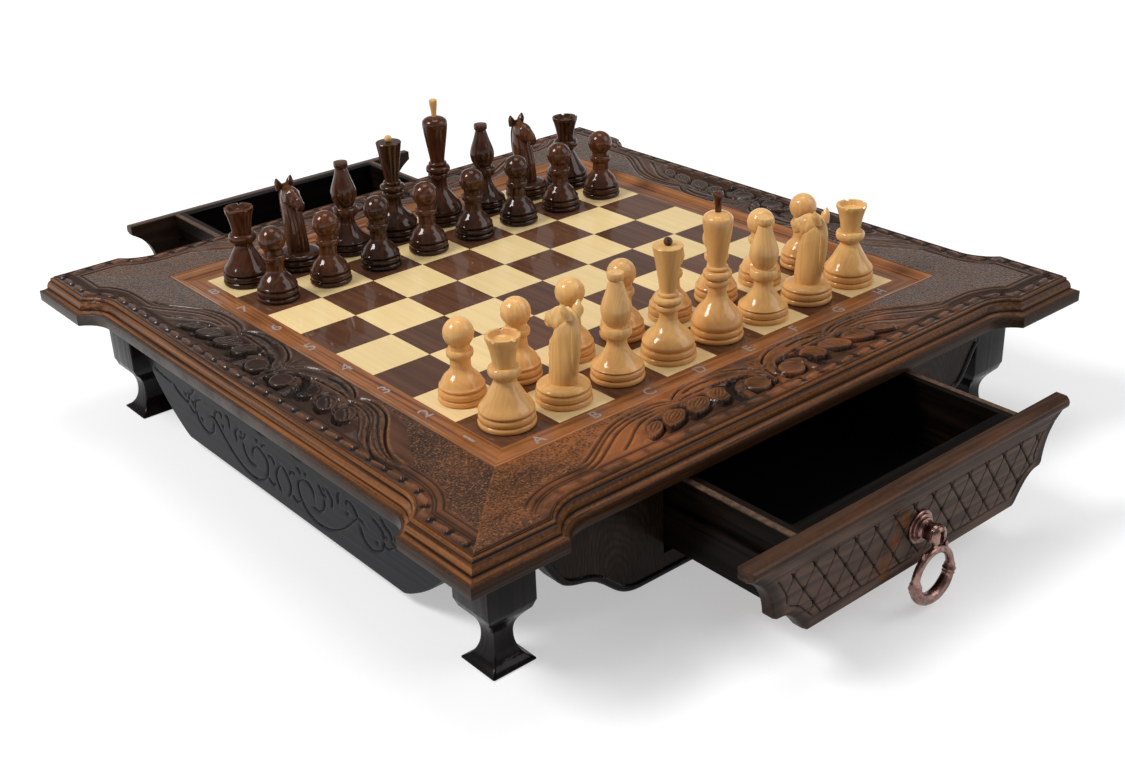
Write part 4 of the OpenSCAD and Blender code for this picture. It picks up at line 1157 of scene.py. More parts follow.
def stippled(web, where, colour):
    """Ground punched into small cells painted dark as shade, darker where the sheen mark is high, with bright
    flecks that turn grey with the painted sheen; also how far the cells sink.
    """
    pits, painted_sheen = web.marks("pitted", "painted_sheen")
    cells = web.node("ShaderNodeTexVoronoi", {"Vector": where, "Scale": 530.0, "Randomness": 0.95})
    stipple = web.times(web.span(cells.outputs["Distance"], 0.20, 0.50, 1.0, 0.0), pits)
    speck = web.times(web.span(web.noise(where, 1100.0, 2.0, 0.5), 0.54, 0.64), pits)
    fleck = web.blend(painted_sheen, (0.36, 0.145, 0.05, 1), (0.25, 0.165, 0.120, 1))
    colour = web.blend(web.times(speck, 0.6), colour, fleck)
    dark = web.times(stipple, web.line(painted_sheen, 0.26, 0.68))
    return web.blend(dark, colour, (0.007, 0.0045, 0.0035, 1)), stipple


def carved_wood(name, late, early, wear_and_highlight, along="frame", coat=0.3, coat_roughness=0.15, stain=None):
    """Waxed carved wood: amber where its mark says so, broken wear and painted highlights on the worn edges
    and rims, and painted shade in the cuts. A stain adds the old finish with its painted sheen, and the
    stippled ground of the frame."""
    material, web, shader, where = new_material(name)
    stretch = {"x": (0.06, 1.0, 1.0), "y": (1.0, 0.06, 1.0)}
    vector = strip_vector(web, where) if along == "frame" else web.mapped(where, stretch[along])
    colour, height = web.grain(vector, 300.0, late, early, 0.45)
    dark_and_shade, worn, warm = web.marks("dark_and_shade", "wear_and_highlight", "warm")
    patch = web.noise(where, 26.0, 4.0, 0.6)
    amber = web.times(web.span(patch, 0.42, 0.66), web.times(warm, 0.7))
    colour = web.blend(amber, colour, (0.33, 0.105, 0.034, 1) if stain else wear_and_highlight)
    height = web.times(height, 0.12)
    rough = web.span(dark_and_shade, 0.0, 1.0, 0.36, 0.62)
    if stain:
        painted_sheen, pits, reed, band = web.marks("painted_sheen", "pitted", "reed", "band")
        colour = stained(web, where, colour, patch, stain)
        # the colour of worn places and painted highlights turns grey with the painted sheen
        wear_and_highlight = web.blend(web.times(painted_sheen, 0.9), wear_and_highlight, (0.235, 0.175, 0.145, 1))
    # the worn mask holds wear and the painted highlights on rims and crests
    wear = web.shared("Broken Edge Mask", {"Vector": where, "Mask": worn, "Amount": 0.7, "Scale": 500.0})
    colour = web.blend(wear["Factor"], colour, wear_and_highlight)
    if stain:
        colour, stipple = stippled(web, where, colour)
        height = web.math("SUBTRACT", height, stipple)
        rough = web.math("MAXIMUM", rough, web.times(pits, 0.5))
    # painted shade in the cuts and hollows
    colour = web.blend(web.times(dark_and_shade, 0.95), colour, (0.005, 0.003, 0.002, 1))
    shade(web, shader, colour, rough, height, 0.55, 0.0006, coat=coat, coat_roughness=coat_roughness)
    if stain:
        edge = web.math("MAXIMUM", reed, band)
        web.feed(shader, {"Coat Weight": web.span(edge, 0.0, 1.0, coat, coat * 0.25)})
    return material


def bead_frame():
    """The strip between border and frame: four mitred lengths whose section rises from the
    border to the rails in a shallow ogee."""
    t = np.linspace(0, 1, 9)
    inner, bottom, top = BOARD_Z + 0.45, low("bead_strips")[2], RAIL_TOP - 0.15
    rise = inner + (top - inner) * (t - 0.12 * np.sin(2 * np.pi * t))
    face = np.stack([HALF_BORDER + (HALF_IN - HALF_BORDER) * t, rise], 1)
    section = np.vstack([[[HALF_IN, bottom], [HALF_BORDER, bottom]], face])
    length = capped(np.array([[[side * d, -d, z] for d, z in section] for side in (-1, 1)]))
    return [moved(length, turn=turn) for turn in (0, 90, 180, 270)]


def slab(grid, back, marks):
    """Closed board from a grid of front points that face -y: its rim goes straight to the
    back plane, and the back is closed with strips across the rows. The marks go on over
    the rim at half their strength, and a single number stands for every point."""
    rows, cols = grid.shape[:2]
    index = np.arange(rows * cols).reshape(rows, cols)
    rim = np.concatenate([index[0], index[1:, -1], index[-1, -2::-1], index[-2:0:-1, 0]])
    n = rows * cols
    points = grid.reshape(-1, 3)
    behind = points[rim] * [1, 0, 1] + [0, back, 0]
    k = np.arange(len(rim))
    k2 = (k + 1) % len(rim)
    edge = np.stack([rim[k2], rim[k], n + k, n + k2], 1)
    right = n + cols - 1 + np.arange(rows)
    left = n + np.concatenate([[0], len(rim) - np.arange(1, rows - 1), [2 * cols + rows - 3]])
    bottom = n + np.arange(cols)
    top = n + cols + rows - 2 + np.arange(cols)
    bars = np.stack([right[1:-2], left[1:-2], left[2:-1], right[2:-1]], 1)
    tris = [np.stack([np.full(cols - 1, left[1]), bottom[1:], bottom[:-1]], 1),
            [[left[1], right[1], bottom[-1]]],
            np.stack([np.full(cols - 1, left[-2]), top[1:], top[:-1]], 1),
            [[left[-2], top[0], right[-2]]]]
    quads = np.vstack([strip(rows, cols), edge, bars])
    flat = {key: np.broadcast_to(value, (rows, cols)).ravel() for key, value in marks.items()}
    marks = {key: np.concatenate([value, value[rim] * 0.5]) for key, value in flat.items()}
    return (np.vstack([points, behind]), quads, np.vstack(tris)), marks


def board_grid(side, columns, ease=1.0):
    """Grid over a symmetric outline: side is the half outline as [half width, height] from
    the bottom up; every row runs across the outline at one height. Also how far each point
    is set back to round the outline's edge."""
    half, z = side[:, :1], np.repeat(side[:, 1:], columns, 1)
    x = half * np.linspace(-1, 1, columns)
    edge = np.minimum(half - np.abs(x), np.minimum(z - z[0], z[-1] - z))
    return x, z, ease * (1 - np.clip(edge / ease, 0, 1)) ** 2


def fine(outline, step):
    """A half outline resampled to rows no further apart than the step."""
    z = outline[:, 1]
    rows = np.linspace(z[0], z[-1], int((z[-1] - z[0]) / step) + 1)
    return np.stack([np.interp(rows, z, outline[:, 0]), rows], 1)


def side_apron_outline():
    """Half outline of a side apron: a flat foot, a long hollow rise and a raking end."""
    e, z0 = high("left_apron")[1], low("left_apron")[2]
    keel, rise, rake = np.array([e - 53, z0 + 3]), np.array([e - 13, z0 + 35]), np.array([e, z0 + 54])
    foot_curve = bow([e - 64, z0], [e - 60, z0], keel - (5, 2.2), keel, 6)
    hollow = bow(keel, keel + (14, 7.5), rise - (14, 16), rise, 16)[1:]
    end = bow(rise, rise + (5, 5), rake - (4, 8), rake, 10)[1:]
    return np.vstack([foot_curve, hollow, end, [[e, STAND_H]]])


def apron_relief(x, z):
    """Incised scrolls of a side apron, mirrored about its middle."""
    incised = Relief(np.abs(x), z)
    lines = (
        [(170, 46), (162, 44.7), (148, 43), (142, 44)],
        [(142, 44), (136, 39.5), (129, 37), (123, 36), (120, 38)],
        [(121, 35), (117, 31.6), (114, 31), (111.5, 32.4), (111, 34)],
        [(120, 38), (118.5, 43), (114, 45.5), (110, 50)],
        [(112, 35), (110, 41), (101, 45.5)],
        [(111, 34), (108.5, 27), (98.5, 22.5), (90, 26), (86, 35)],
        [(95, 35), (90, 37.4), (84, 37), (76, 30), (67, 22.5), (54, 15.5), (41.5, 13), (31.5, 14),
         (23, 19), (18.5, 27), (19, 34), (26, 38), (31.5, 38), (36, 34), (37, 27)],
        [(86, 37), (81, 44), (75, 45), (74, 42)],
        [(68, 47), (65, 45), (64.5, 38)],
        [(56.5, 32), (57.6, 37), (56, 40), (51, 44)],
        [(48.5, 35), (47, 28), (41.5, 23), (33, 23)],
        [(43, 43), (47, 38), (52, 37)],
        [(23.5, 41), (21, 43.4), (18.5, 44)],
        [(16.5, 38), (11.5, 38), (8.5, 34)],
        [(20, 21), (14, 18), (10, 21)],
        [(0, 38), (5, 33.5), (8.5, 27), (7, 21), (4, 17)],
        [(86, 57), (74, 53), (60, 55), (48, 60), (36, 57), (24, 51), (12, 53), (0, 60)],
        [(150, 60), (132, 55), (116, 58), (100, 64), (86, 57)],
    )
    for line in lines:
        incised.groove(line, 0.9, 0.62, 0.85, 0.08)
    for dx, dz in ((124, 41.5), (114.5, 38.5), (49, 41.5), (29, 43.5), (104, 30), (74, 36)):
        incised.cut(bell(np.hypot(incised.x - dx, z - dz), 0, 1.3), 0.8, 0.85)
    return incised


def side_apron():
    """An incised side apron that faces -y, its front in the plane y = 0."""
    x, z, ease = board_grid(fine(side_apron_outline(), 0.85), 440)
    incised = apron_relief(x, z)
    ease = np.where(z > STAND_H - 2, 0, ease)
    thick = high("right_apron")[0] - low("right_apron")[0]
    marks = {"dark_and_shade": incised.dark_and_shade, "wear_and_highlight": np.clip(ease, 0, 1) * 0.3, "pitted": 0.0, "warm": 0.0}
    return slab(np.stack([x, ease - incised.z, z], -1), thick, marks)


def apron_edge():
    """Rounded dark edge along the lower outline of the apron that faces -y: a section of
    u inward and w outward is swept along the cusped curve, and both ends are capped."""
    e, face, z0 = high("front_apron")[0], low("front_apron")[1], low("front_apron")[2]
    cusp, knee, end = np.array([e - 17, z0 + 26.5]), np.array([e - 45, z0 + 14]), np.array([e, z0 + 50])
    half = np.vstack([
        bow([e - 72, z0], [e - 58, z0], knee - (8, 7), knee, 16),
        bow(knee, knee + (11, 10), cusp - (10, 6.5), cusp, 16)[1:],
        bow(cusp, cusp + (7, 5.5), end - (6, 6), end, 16)[1:],
    ])
    path = np.vstack([half[::-1] * (-1, 1), half])
    ahead = np.gradient(path, axis=0)
    ahead /= np.linalg.norm(ahead, axis=1)[:, None]
    inward = np.stack([-ahead[:, 1], ahead[:, 0]], 1)
    section = np.array([[0, -2.0], [0.05, 0.2], [0.5, 0.9], [1.4, 1.35], [2.6, 1.4], [3.7, 1.0], [4.3, 0.3],
                        [4.5, -2.0]])
    xz = path[:, None] + inward[:, None] * section[:, :1]
    y = face - np.broadcast_to(section[:, 1], xz.shape[:2])
    return capped(np.stack([xz[..., 0], y, xz[..., 1]], -1), flip=True)


def drawer_front_outline():
    """Half outline of a drawer front: flat foot, two hollow curves with a cusp between
    them, and a short upright end."""
    e, bottom, top = high("front_drawer_front")[0], low("front_drawer_front")[2], high("front_drawer_front")[2]
    cusp, flat = np.array([e - 19, bottom + 20]), e - 46
    lower = bow([flat + 4, bottom + 3], [flat + 11, bottom + 13], cusp - (10, 0), cusp - (0.9, 0.6), 16)
    upper = bow(cusp + (0.6, 0.9), [e - 17, top - 17], [e - 7, top - 11.5], [e, top - 7], 16)
    line = np.vstack([[[flat, bottom]], lower, upper, [[e, top]]])
    return np.stack([line[:, 0], np.maximum.accumulate(line[:, 1] + np.arange(len(line)) * 1e-4)], 1)


# drawer front: a crossing's height, the pitch and the lean of the lattice, and the height
# of the cornice; radius of the pin of a drop ring
LATTICE_Z = 50.0
LATTICE_PITCH = 16.0
LATTICE_LEAN = 0.696
CORNICE_H = 6.5
PIN_R = 1.0


def lattice_front():
    """A drawer front that faces -y: two families of leaning cut lines with a dot at each
    crossing, inside a cut border, under a rounded cornice."""
    outline = drawer_front_outline()
    x, z, ease = board_grid(fine(outline, 0.46), 640, 2.0)
    top = z.max()
    front = Relief(np.abs(x), z)
    foot_z, head_z = 30.0, 64.4
    field_side = [(85, foot_z), (91, 36), (96, 41), (105.5, 46.5), (106, 52), (109, 58), (113, head_z)]
    half = np.interp(z, [p[1] for p in field_side], [p[0] for p in field_side])
    field = soft_step(half - front.x, -0.3, 0.3)
    field *= soft_step(z, foot_z - 0.2, foot_z + 0.2) * (1 - soft_step(z, head_z - 0.2, head_z + 0.2))
    lanes = [(x + lean * (z - LATTICE_Z) - 3.0) / LATTICE_PITCH for lean in (LATTICE_LEAN, -LATTICE_LEAN)]
    off = [np.abs(lane - np.round(lane)) * LATTICE_PITCH / math.hypot(1, LATTICE_LEAN) for lane in lanes]
    for d, width, depth in ((off[0], 0.52, 1.0), (off[1], 0.38, 0.62)):
        front.cut(bell(d, 0, width) * field, 0.7 * depth, depth)
    front.cut(bell(np.hypot(*off), 0, 1.35, 4) * field, 0.8, 1.0)
    front.groove(field_side[3:], 0.7, 0.55, 0.95, 0.0)
    front.groove([(105.6, 46.2), *field_side[2::-1]], 0.7, 0.6, 0.95, 0.0)
    front.groove([(0, foot_z), (40, foot_z), (85, foot_z)], 0.6, 0.45, 0.8, 0.0)
    front.groove([(0, head_z), (50, head_z), (106, head_z)], 0.6, 0.4, 0.7, 0.0)
    over = (z - (top - CORNICE_H)) / CORNICE_H
    arch = np.sin(np.pi * (0.12 + 0.80 * over.clip(0, 1))) ** 0.6
    out = 2.9 * arch * soft_step(over, -0.04, 0.08)
    # painted shade in the seam under the cornice
    seam = bell(over, -0.03, 0.10) + 0.5 * bell(z, head_z + 1.8, 0.5)
    front.z -= 0.35 * seam
    front.dark_and_shade = np.maximum(front.dark_and_shade, 0.75 * seam.clip(0, 1))
    room = np.interp(z, outline[:, 1], outline[:, 0]) - front.x
    ends = (1 - soft_step(room, 4.0, 11.0)) * (1 - soft_step(z, top - 9, top - 5)) * soft_step(front.x, 84, 92)
    front.dark_and_shade = np.maximum(front.dark_and_shade, 0.72 * ends)
    cornice = soft_step(over, 0.0, 0.2)
    # three worn spots beside the pull
    places = ((-13, 56, 5), (-20.5, 46, 5), (-28, 33, 7))
    spots = sum(bell(np.hypot(x - a, z - b), 0, r, 4) for a, b, r in places)
    wear_and_highlight = np.maximum(0.32 * ease.clip(0, 1), 0.9 * spots * (1 - front.dark_and_shade) * (front.x > 9))
    wear_and_highlight = np.maximum(wear_and_highlight, cornice * (0.06 + 0.5 * bell(over, 0.80, 0.09)))
    marks = {"dark_and_shade": np.maximum(front.dark_and_shade, 0.5 * cornice), "wear_and_highlight": wear_and_highlight, "pitted": 0.0,
             "warm": 0.3 * cornice + 0.03}
    thick = high("front_drawer_front")[1] - high("front_pull_post")[1]
    shape, marks = slab(np.stack([x, ease - out - front.z, z], -1), thick, marks)
    # the walls behind the rim are nearly black, their upper face a little less
    wall = len(shape[0]) - x.size
    lift = soft_step(shape[0][-wall:, 2], top - 1.5, top - 0.5)
    marks["dark_and_shade"][-wall:] = 0.8 - 0.15 * lift
    marks["wear_and_highlight"][-wall:] = 0.2 * lift
    return shape, marks


def foot_shape(centre):
    """A foot as a loft of squares with rounded corners: flared base, waist, shoulder and
    block."""
    base, waist, block, corner, steps = 14.5, 6.4, 16.0, 1.1, 12
    side = np.vstack([
        [[base - 0.5, 0], [base, 0.4], [base, 0.9]],
        bow([base - 0.3, 1.2], [base * 0.62, 3.4], [waist, 9.9], [waist, 18], 20)[1:],
        bow([waist, 18], [waist, 26.2], [waist + 3.84, 29.3], [waist + 7.87, 34], 14)[1:],
        [[block - 0.5, 37.6], [block, 38.8], [block, 60], [block, STAND_H]],
    ])
    a = (np.arange(4 * steps) + 0.5) / steps * math.pi / 2
    signs = np.sign(np.stack([np.cos(a), np.sin(a)], 1))
    round_part = corner * np.stack([np.cos(a), np.sin(a)], 1)
    xy = signs * (side[:, None, :1] - corner) + round_part
    z = np.repeat(side[:, 1:], 4 * steps, 1)
    grid = np.concatenate([xy, z[..., None]], -1) + [centre[0], centre[1], 0]
    return capped(grid)


def tube(path, radii, around=20, closed=False):
    """Round bar in the plane y = 0 along a path of [x, z], with a radius at every point."""
    p = np.asarray(path, float)
    d = np.roll(p, -1, 0) - np.roll(p, 1, 0) if closed else np.gradient(p, axis=0)
    d /= np.linalg.norm(d, axis=1)[:, None]
    a = round_angles(around)
    r = np.asarray(radii, float)[:, None]
    out = r * np.cos(a)
    grid = np.stack([p[:, :1] + d[:, 1:] * out, r * np.sin(a), p[:, 1:] - d[:, :1] * out], -1)
    if closed:
        return grid.reshape(-1, 3), strip(len(p), around, wrap_rows=True, wrap_cols=True)
    return capped(grid)


def drop_ring():
    """Drop ring round the origin of its pin, in the plane y = 0: the bar is thin at the
    shoulders and heavy below, with a banded knob at each side, a horn at each shoulder, a
    stem, and an eye that turns on the pin."""
    lowest, highest = low("front_pull_ring"), high("front_pull_ring")
    drop = high("front_pull_pin")[2] - PIN_R - lowest[2]
    knob_r, heavy_r = 4.6, 3.7
    ring_r = (highest[0] - lowest[0]) / 2 - knob_r
    centre = -drop + ring_r + heavy_r
    a = round_angles(120)
    from_top = np.abs((a + math.pi) % (2 * math.pi) - math.pi)
    bar = 2.35 + 1.3 * soft_step(from_top, 1.2, 2.4)
    for at, rise, width in ((1.72, 1.0, 0.075), (1.56, 0.55, 0.05), (1.88, 0.55, 0.05)):
        bar += rise * bell(from_top, at, width)
    path = np.stack([ring_r * np.sin(a), centre + ring_r * np.cos(a)], 1)
    shapes = [tube(path, bar, 24, closed=True)]
    for side, radii in ((-1, (0.7, 1.3, 1.7)), (1, (1.7, 1.3, 0.7))):
        horn = bow([side * 8.6, centre + ring_r * 0.80], [side * 9.8, centre + ring_r * 0.93],
                   [side * 10.4, centre + ring_r + 0.8], [side * 9.4, centre + ring_r + 2.2], 9)
        taper = np.interp(np.linspace(0, 1, 9), [0, 0.7, 1], radii)
        shapes.append(tube(horn[::side], taper, 14))
    stem = np.stack([np.zeros(9), np.linspace(centre + ring_r - 0.6, -1.9, 9)], 1)
    shapes.append(tube(stem, 1.42 + 0.9 * np.linspace(1, 0, 9) ** 3, 18))
    turn = round_angles(32)
    eye, *faces = tube(2.05 * np.stack([np.sin(turn), np.cos(turn)], 1), np.full(32, 0.98), 12, closed=True)
    shapes.append((eye[:, [1, 0, 2]] * [1.4, -1.0, 1.0], *faces))
    return joined(*shapes)


# ---------------------------------------------------------------- operators

FEET = ("front_left_foot", "front_right_foot", "back_left_foot", "back_right_foot")
# border letters: a capital's share of the font size, and half the thickness of a mark
CAPITAL_H = 0.729
MARK_RISE = 0.03
# stage: half width of the floor, and the lens as focal length and width in pixels on a sensor
FLOOR_R = 40.0
FOCAL_PIXELS = 1483.44
PICTURE_WIDTH = 1125
SENSOR = 36.0


class Builder:
    """Shared part of the operators: run build and report that it is done."""

    bl_options = {"REGISTER", "UNDO"}

    def execute(self, context):
        self.build()
        return {"FINISHED"}


class CHESSBOX_OT_finishes(Builder, bpy.types.Operator):
    """Make the materials and give them to the nodes that keep their own shape"""

    bl_idname = "chess_box.finishes"
    bl_label = "Finishes"

    def build(self):
        make_materials()
        dress("frame", "front_rail", "right_rail", "back_rail", "left_rail")
        dress("bead", "bead_strips")
        dress("core", "board_core")
        dress("border", "border_strips")
        dress("light_square", "light_squares")
        dress("dark_square", "dark_squares")
        dress("apron", "front_apron", "back_apron")
        dress("lacquer", "left_apron", "right_apron")
        dress("foot", *FEET)
        dress("dowel", "foot_dowels")
        dress("carcass", "left_cheek", "right_cheek", "runners", "centre_divider")
        dress("steel", "carcass_screws", "pull_screws_front", "pull_screws_back")
        dress("panel", "bottom_panel")
        for end in ("front", "back"):
            dress("drawer_face", f"{end}_drawer_front")
            dress("box_front", f"{end}_drawer_box_front")
            dress("drawer_wood", f"{end}_drawer_sides", f"{end}_drawer_back")
            dress("panel", f"{end}_drawer_bottom")
            dress("felt", f"{end}_drawer_felt")
            dress("bronze", f"{end}_pull_post", f"{end}_pull_pin", f"{end}_pull_ring")


class CHESSBOX_OT_rails(Builder, bpy.types.Operator):
    """Carve the four rails of the frame"""

    bl_idname = "chess_box.rails"
    bl_label = "Carved rails"

    def build(self):
        base = tint("frame")
        wood = carved_wood("Carved frame wood", tinted(base, 0.35), base, tint("wear_and_highlight"),
                           coat=0.34, coat_roughness=0.07, stain=(0.013, 0.0065, 0.0045, 1))
        for name, (shape, marks) in carved_rails().items():
            put_mesh(f"{name}_rail_carved", [shape], wood, "root", [f"{name}_rail"], marks, 40.0)


class CHESSBOX_OT_bead(Builder, bpy.types.Operator):
    """Lay the sloping strip between border and frame"""

    bl_idname = "chess_box.bead"
    bl_label = "Bead strip"

    def build(self):
        put_mesh("bead_frame", bead_frame(), MATERIALS["bead"], "root", ["bead_strips"])


class CHESSBOX_OT_aprons(Builder, bpy.types.Operator):
    """Cut the scrolls into the side aprons and round the edge of the other two"""

    bl_idname = "chess_box.aprons"
    bl_label = "Aprons"

    def build(self):
        wood = carved_wood("Incised lacquer", (0.004, 0.004, 0.006, 1), tint("lacquer"),
                           (0.05, 0.045, 0.045, 1), "y", 0.14, 0.09)
        shape, marks = side_apron()
        x = high("right_apron")[0]
        for side, place, turn in (("right", x, 90), ("left", -x, 270)):
            put_mesh(f"{side}_apron_incised", [moved(shape, (place, 0, 0), turn)], wood, "root",
                     [f"{side}_apron"], marks)
        for end, turn in (("front", 0), ("back", 180)):
            put_mesh(f"{end}_apron_edge", [moved(apron_edge(), turn=turn)], MATERIALS["foot"], "root")


class CHESSBOX_OT_feet(Builder, bpy.types.Operator):
    """Shape the four feet"""

    bl_idname = "chess_box.feet"
    bl_label = "Feet"

    def build(self):
        for node in FEET:
            centre = (low(node) + high(node)) / 2
            put_mesh(f"{node}_shaped", [foot_shape(centre)], MATERIALS["foot"], "root", [node])


class CHESSBOX_OT_drawer_fronts(Builder, bpy.types.Operator):
    """Cut the lattice into the drawer fronts"""

    bl_idname = "chess_box.drawer_fronts"
    bl_label = "Drawer fronts"

    def build(self):
        wood = carved_wood("Lattice wood", (0.030, 0.016, 0.011, 1), (0.105, 0.059, 0.040, 1),
                           (0.30, 0.095, 0.024, 1), "x", 0.16, 0.16)
        shape, marks = lattice_front()
        for end, turn, face in (("front", 0, high("front_pull_post")[1]),
                                ("back", 180, low("back_pull_post")[1])):
            put_mesh(f"{end}_lattice_front", [moved(shape, (0, face, 0), turn)], wood, f"{end}_drawer",
                     [f"{end}_drawer_front"], marks)


class CHESSBOX_OT_rings(Builder, bpy.types.Operator):
    """Cast the two drop rings"""

    bl_idname = "chess_box.rings"
    bl_label = "Drop rings"

    def build(self):
        shape = drop_ring()
        for end in ("front", "back"):
            pin = (low(f"{end}_pull_pin") + high(f"{end}_pull_pin")) / 2
            put_mesh(f"{end}_drop_ring", [moved(shape, pin)], MATERIALS["bronze"], f"{end}_ring",
                     [f"{end}_pull_ring"])


class CHESSBOX_OT_pawns(Builder, bpy.types.Operator):
    """Turn the pawns"""

    bl_idname = "chess_box.pawns"
    bl_label = "Pawns"

    def build(self):
        put_men("pawns", turned(pawn_outline(), grown("light_pawns", PAWN_H)), range(8))


class CHESSBOX_OT_rooks(Builder, bpy.types.Operator):
    """Turn the rooks"""

    bl_idname = "chess_box.rooks"
    bl_label = "Rooks"

    def build(self):
        points, *faces = turned(rook_outline(), grown("light_rooks", ROOK_H))
        # five saw cuts in the rim
        turn = np.arctan2(points[:, 1], points[:, 0]) * 5 / (2 * math.pi) + 0.2
        cut = (points[:, 2] > points[:, 2].max() - 0.2) & (np.abs(turn - np.round(turn)) < 0.07)
        points[:, 2] -= 1.1 * cut
        put_men("rooks", (points, *faces), (0, 7))


class CHESSBOX_OT_knights(Builder, bpy.types.Operator):
    """Carve the knights on their turned feet"""

    bl_idname = "chess_box.knights"
    bl_label = "Knights"

    def build(self):
        base = foot(16.6, [[15.5, 9.4], [14.0, 10.9], [12.0, 11.6], [9.0, 11.9]], 14)
        horse = knight_shape(grown("light_knights", KNIGHT_H))
        put_men("knights", joined(turned(np.vstack([base, [[0, 12.0]]])), horse), (1, 6), 90)


class CHESSBOX_OT_bishops(Builder, bpy.types.Operator):
    """Turn the bishops"""

    bl_idname = "chess_box.bishops"
    bl_label = "Bishops"

    def build(self):
        put_men("bishops", turned(bishop_outline(), grown("light_bishops", BISHOP_H)), (2, 5))


class CHESSBOX_OT_queens(Builder, bpy.types.Operator):
    """Turn the queens and the balls on them"""

    bl_idname = "chess_box.queens"
    bl_label = "Queens"

    def build(self):
        k = grown("light_queen_ball", QUEEN_H)
        put_men("queen", turned(queen_outline(), k), (3,))
        top, ball_r = QUEEN_H * k, 2.7
        ball = np.vstack([[[0, 70.0 * k]], dome(ball_r, top - ball_r, -70, 16), [[0, top]]])
        put_finials("queen", "ball", ball, 3)


class CHESSBOX_OT_kings(Builder, bpy.types.Operator):
    """Turn the kings and the pegs on them"""

    bl_idname = "chess_box.kings"
    bl_label = "Kings"

    def build(self):
        k = grown("light_king_peg", KING_H)
        put_men("king", turned(king_outline(), k), (4,))
        stem = through([[1.8, 80.0], [2.2, 85.0], [3.0, 90.6], [2.9, 92.4]], 10)
        peg = np.vstack([[[0, 79.6], [1.8, 79.6]], stem, [[2.2, KING_H], [0, KING_H]]])
        put_finials("king", "peg", peg * [1, k], 4)


def letter_shape(text, height, x, y):
    """A letter as a thin plate with its middle at x, y on the border."""
    curve = bpy.data.curves.new("mark", "FONT")
    curve.body = text
    curve.size = height / CAPITAL_H
    curve.offset = 0.12
    curve.extrude = MARK_RISE
    holder = bpy.data.objects.new("mark", curve)
    bpy.context.scene.collection.objects.link(holder)
    bpy.context.view_layer.update()
    mesh = bpy.data.meshes.new_from_object(holder.evaluated_get(bpy.context.evaluated_depsgraph_get()))
    mesh.calc_loop_triangles()
    points = np.zeros(len(mesh.vertices) * 3, np.float32)
    mesh.vertices.foreach_get("co", points)
    tris = np.zeros(len(mesh.loop_triangles) * 3, np.int32)
    mesh.loop_triangles.foreach_get("vertices", tris)
    bpy.data.objects.remove(holder)
    bpy.data.meshes.remove(mesh)
    points = points.reshape(-1, 3).astype(float)
    points -= (points.min(0) + points.max(0)) / 2
    return points + [x, y, BOARD_Z + MARK_RISE], np.zeros((0, 4), int), tris.reshape(-1, 3)


class CHESSBOX_OT_marks(Builder, bpy.types.Operator):
    """Lay the letters and numbers into the border"""

    bl_idname = "chess_box.marks"
    bl_label = "Border letters"

    def build(self):
        middle, height = (HALF_BOARD + HALF_BORDER) / 2, size("letter")
        squares = [(i - 3.5) * SQUARE for i in range(8)]
        shapes = [letter_shape(text, height, x, -middle) for text, x in zip("ABCDEFGH", squares)]
        shapes += [letter_shape(text, height * 1.25, -middle, y) for text, y in zip("12345678", squares)]
        put_mesh("border_marks", shapes, MATERIALS["silver"], "root")


def seen(web):
    """1 where a surface or the sky is looked at or mirrored, 0 where it lights."""
    rays = web.node("ShaderNodeLightPath").outputs
    mirrored = web.math("MAXIMUM", rays["Is Glossy Ray"], rays["Is Transmission Ray"])
    return web.math("MAXIMUM", rays["Is Camera Ray"], mirrored)


def put_floor():
    """Pale floor that goes over into white away from the box."""
    mesh = bpy.data.meshes.new("floor")
    r = FLOOR_R
    mesh.from_pydata([(-r, -r, 0), (r, -r, 0), (r, r, 0), (-r, r, 0)], [], [(0, 1, 2, 3)])
    floor = bpy.data.objects.new("floor", mesh)
    bpy.context.scene.collection.objects.link(floor)
    material, web, shader, where = new_material("Pale floor")
    pale = web.blend(web.noise(where, 2.0, 2.0), (0.60, 0.60, 0.60, 1), (0.62, 0.62, 0.62, 1))
    shade(web, shader, pale, 0.9, specular=0.0)
    glow = web.times(seen(web), web.span(web.vector("LENGTH", where, out="Value"), 0.55, 1.7, 0.44, 0.9))
    web.feed(shader, {"Emission Strength": 1.0, "Emission Color": web.grey(glow)})
    mesh.materials.append(material)


def put_sky():
    """Even soft light. Where it is seen or mirrored, the sky goes on in the floor's white up
    to 9 degrees, and fades above."""
    scene = bpy.context.scene
    world = scene.world or bpy.data.worlds.new("Soft light")
    scene.world = world
    world.use_nodes = True
    world.node_tree.nodes.clear()
    web = Web(world.node_tree)
    rise = web.split(web.node("ShaderNodeTexCoord").outputs["Generated"])[2]
    strength = web.line(seen(web), web.span(rise, 0.16, 0.3, 0.77, 0.0), 0.26)
    back = web.node("ShaderNodeBackground", {"Color": (0.98, 0.98, 1.0, 1.0), "Strength": strength})
    web.node("ShaderNodeOutputWorld", {"Surface": back.outputs[0]})


def put_lamps():
    """Three square soft lamps that look at the board."""
    for name, place, width, power in (("key", (-1.6, 0.7, 2.0), 0.8, 48.0),
                                      ("fill", (1.5, -1.6, 1.7), 1.8, 25.0),
                                      ("top", (0.3, 0.3, 2.6), 1.1, 14.0)):
        lamp = bpy.data.lights.new(name, "AREA")
        lamp.size = width
        lamp.energy = power
        holder = bpy.data.objects.new(name, lamp)
        bpy.context.scene.collection.objects.link(holder)
        holder.matrix_world = looking(place, (0, 0, 0.05))


def world_matrix(x, y, z, place):
    """World matrix with the given axes at a place."""
    return Matrix([[x[i], y[i], z[i], place[i]] for i in range(3)] + [[0, 0, 0, 1]])


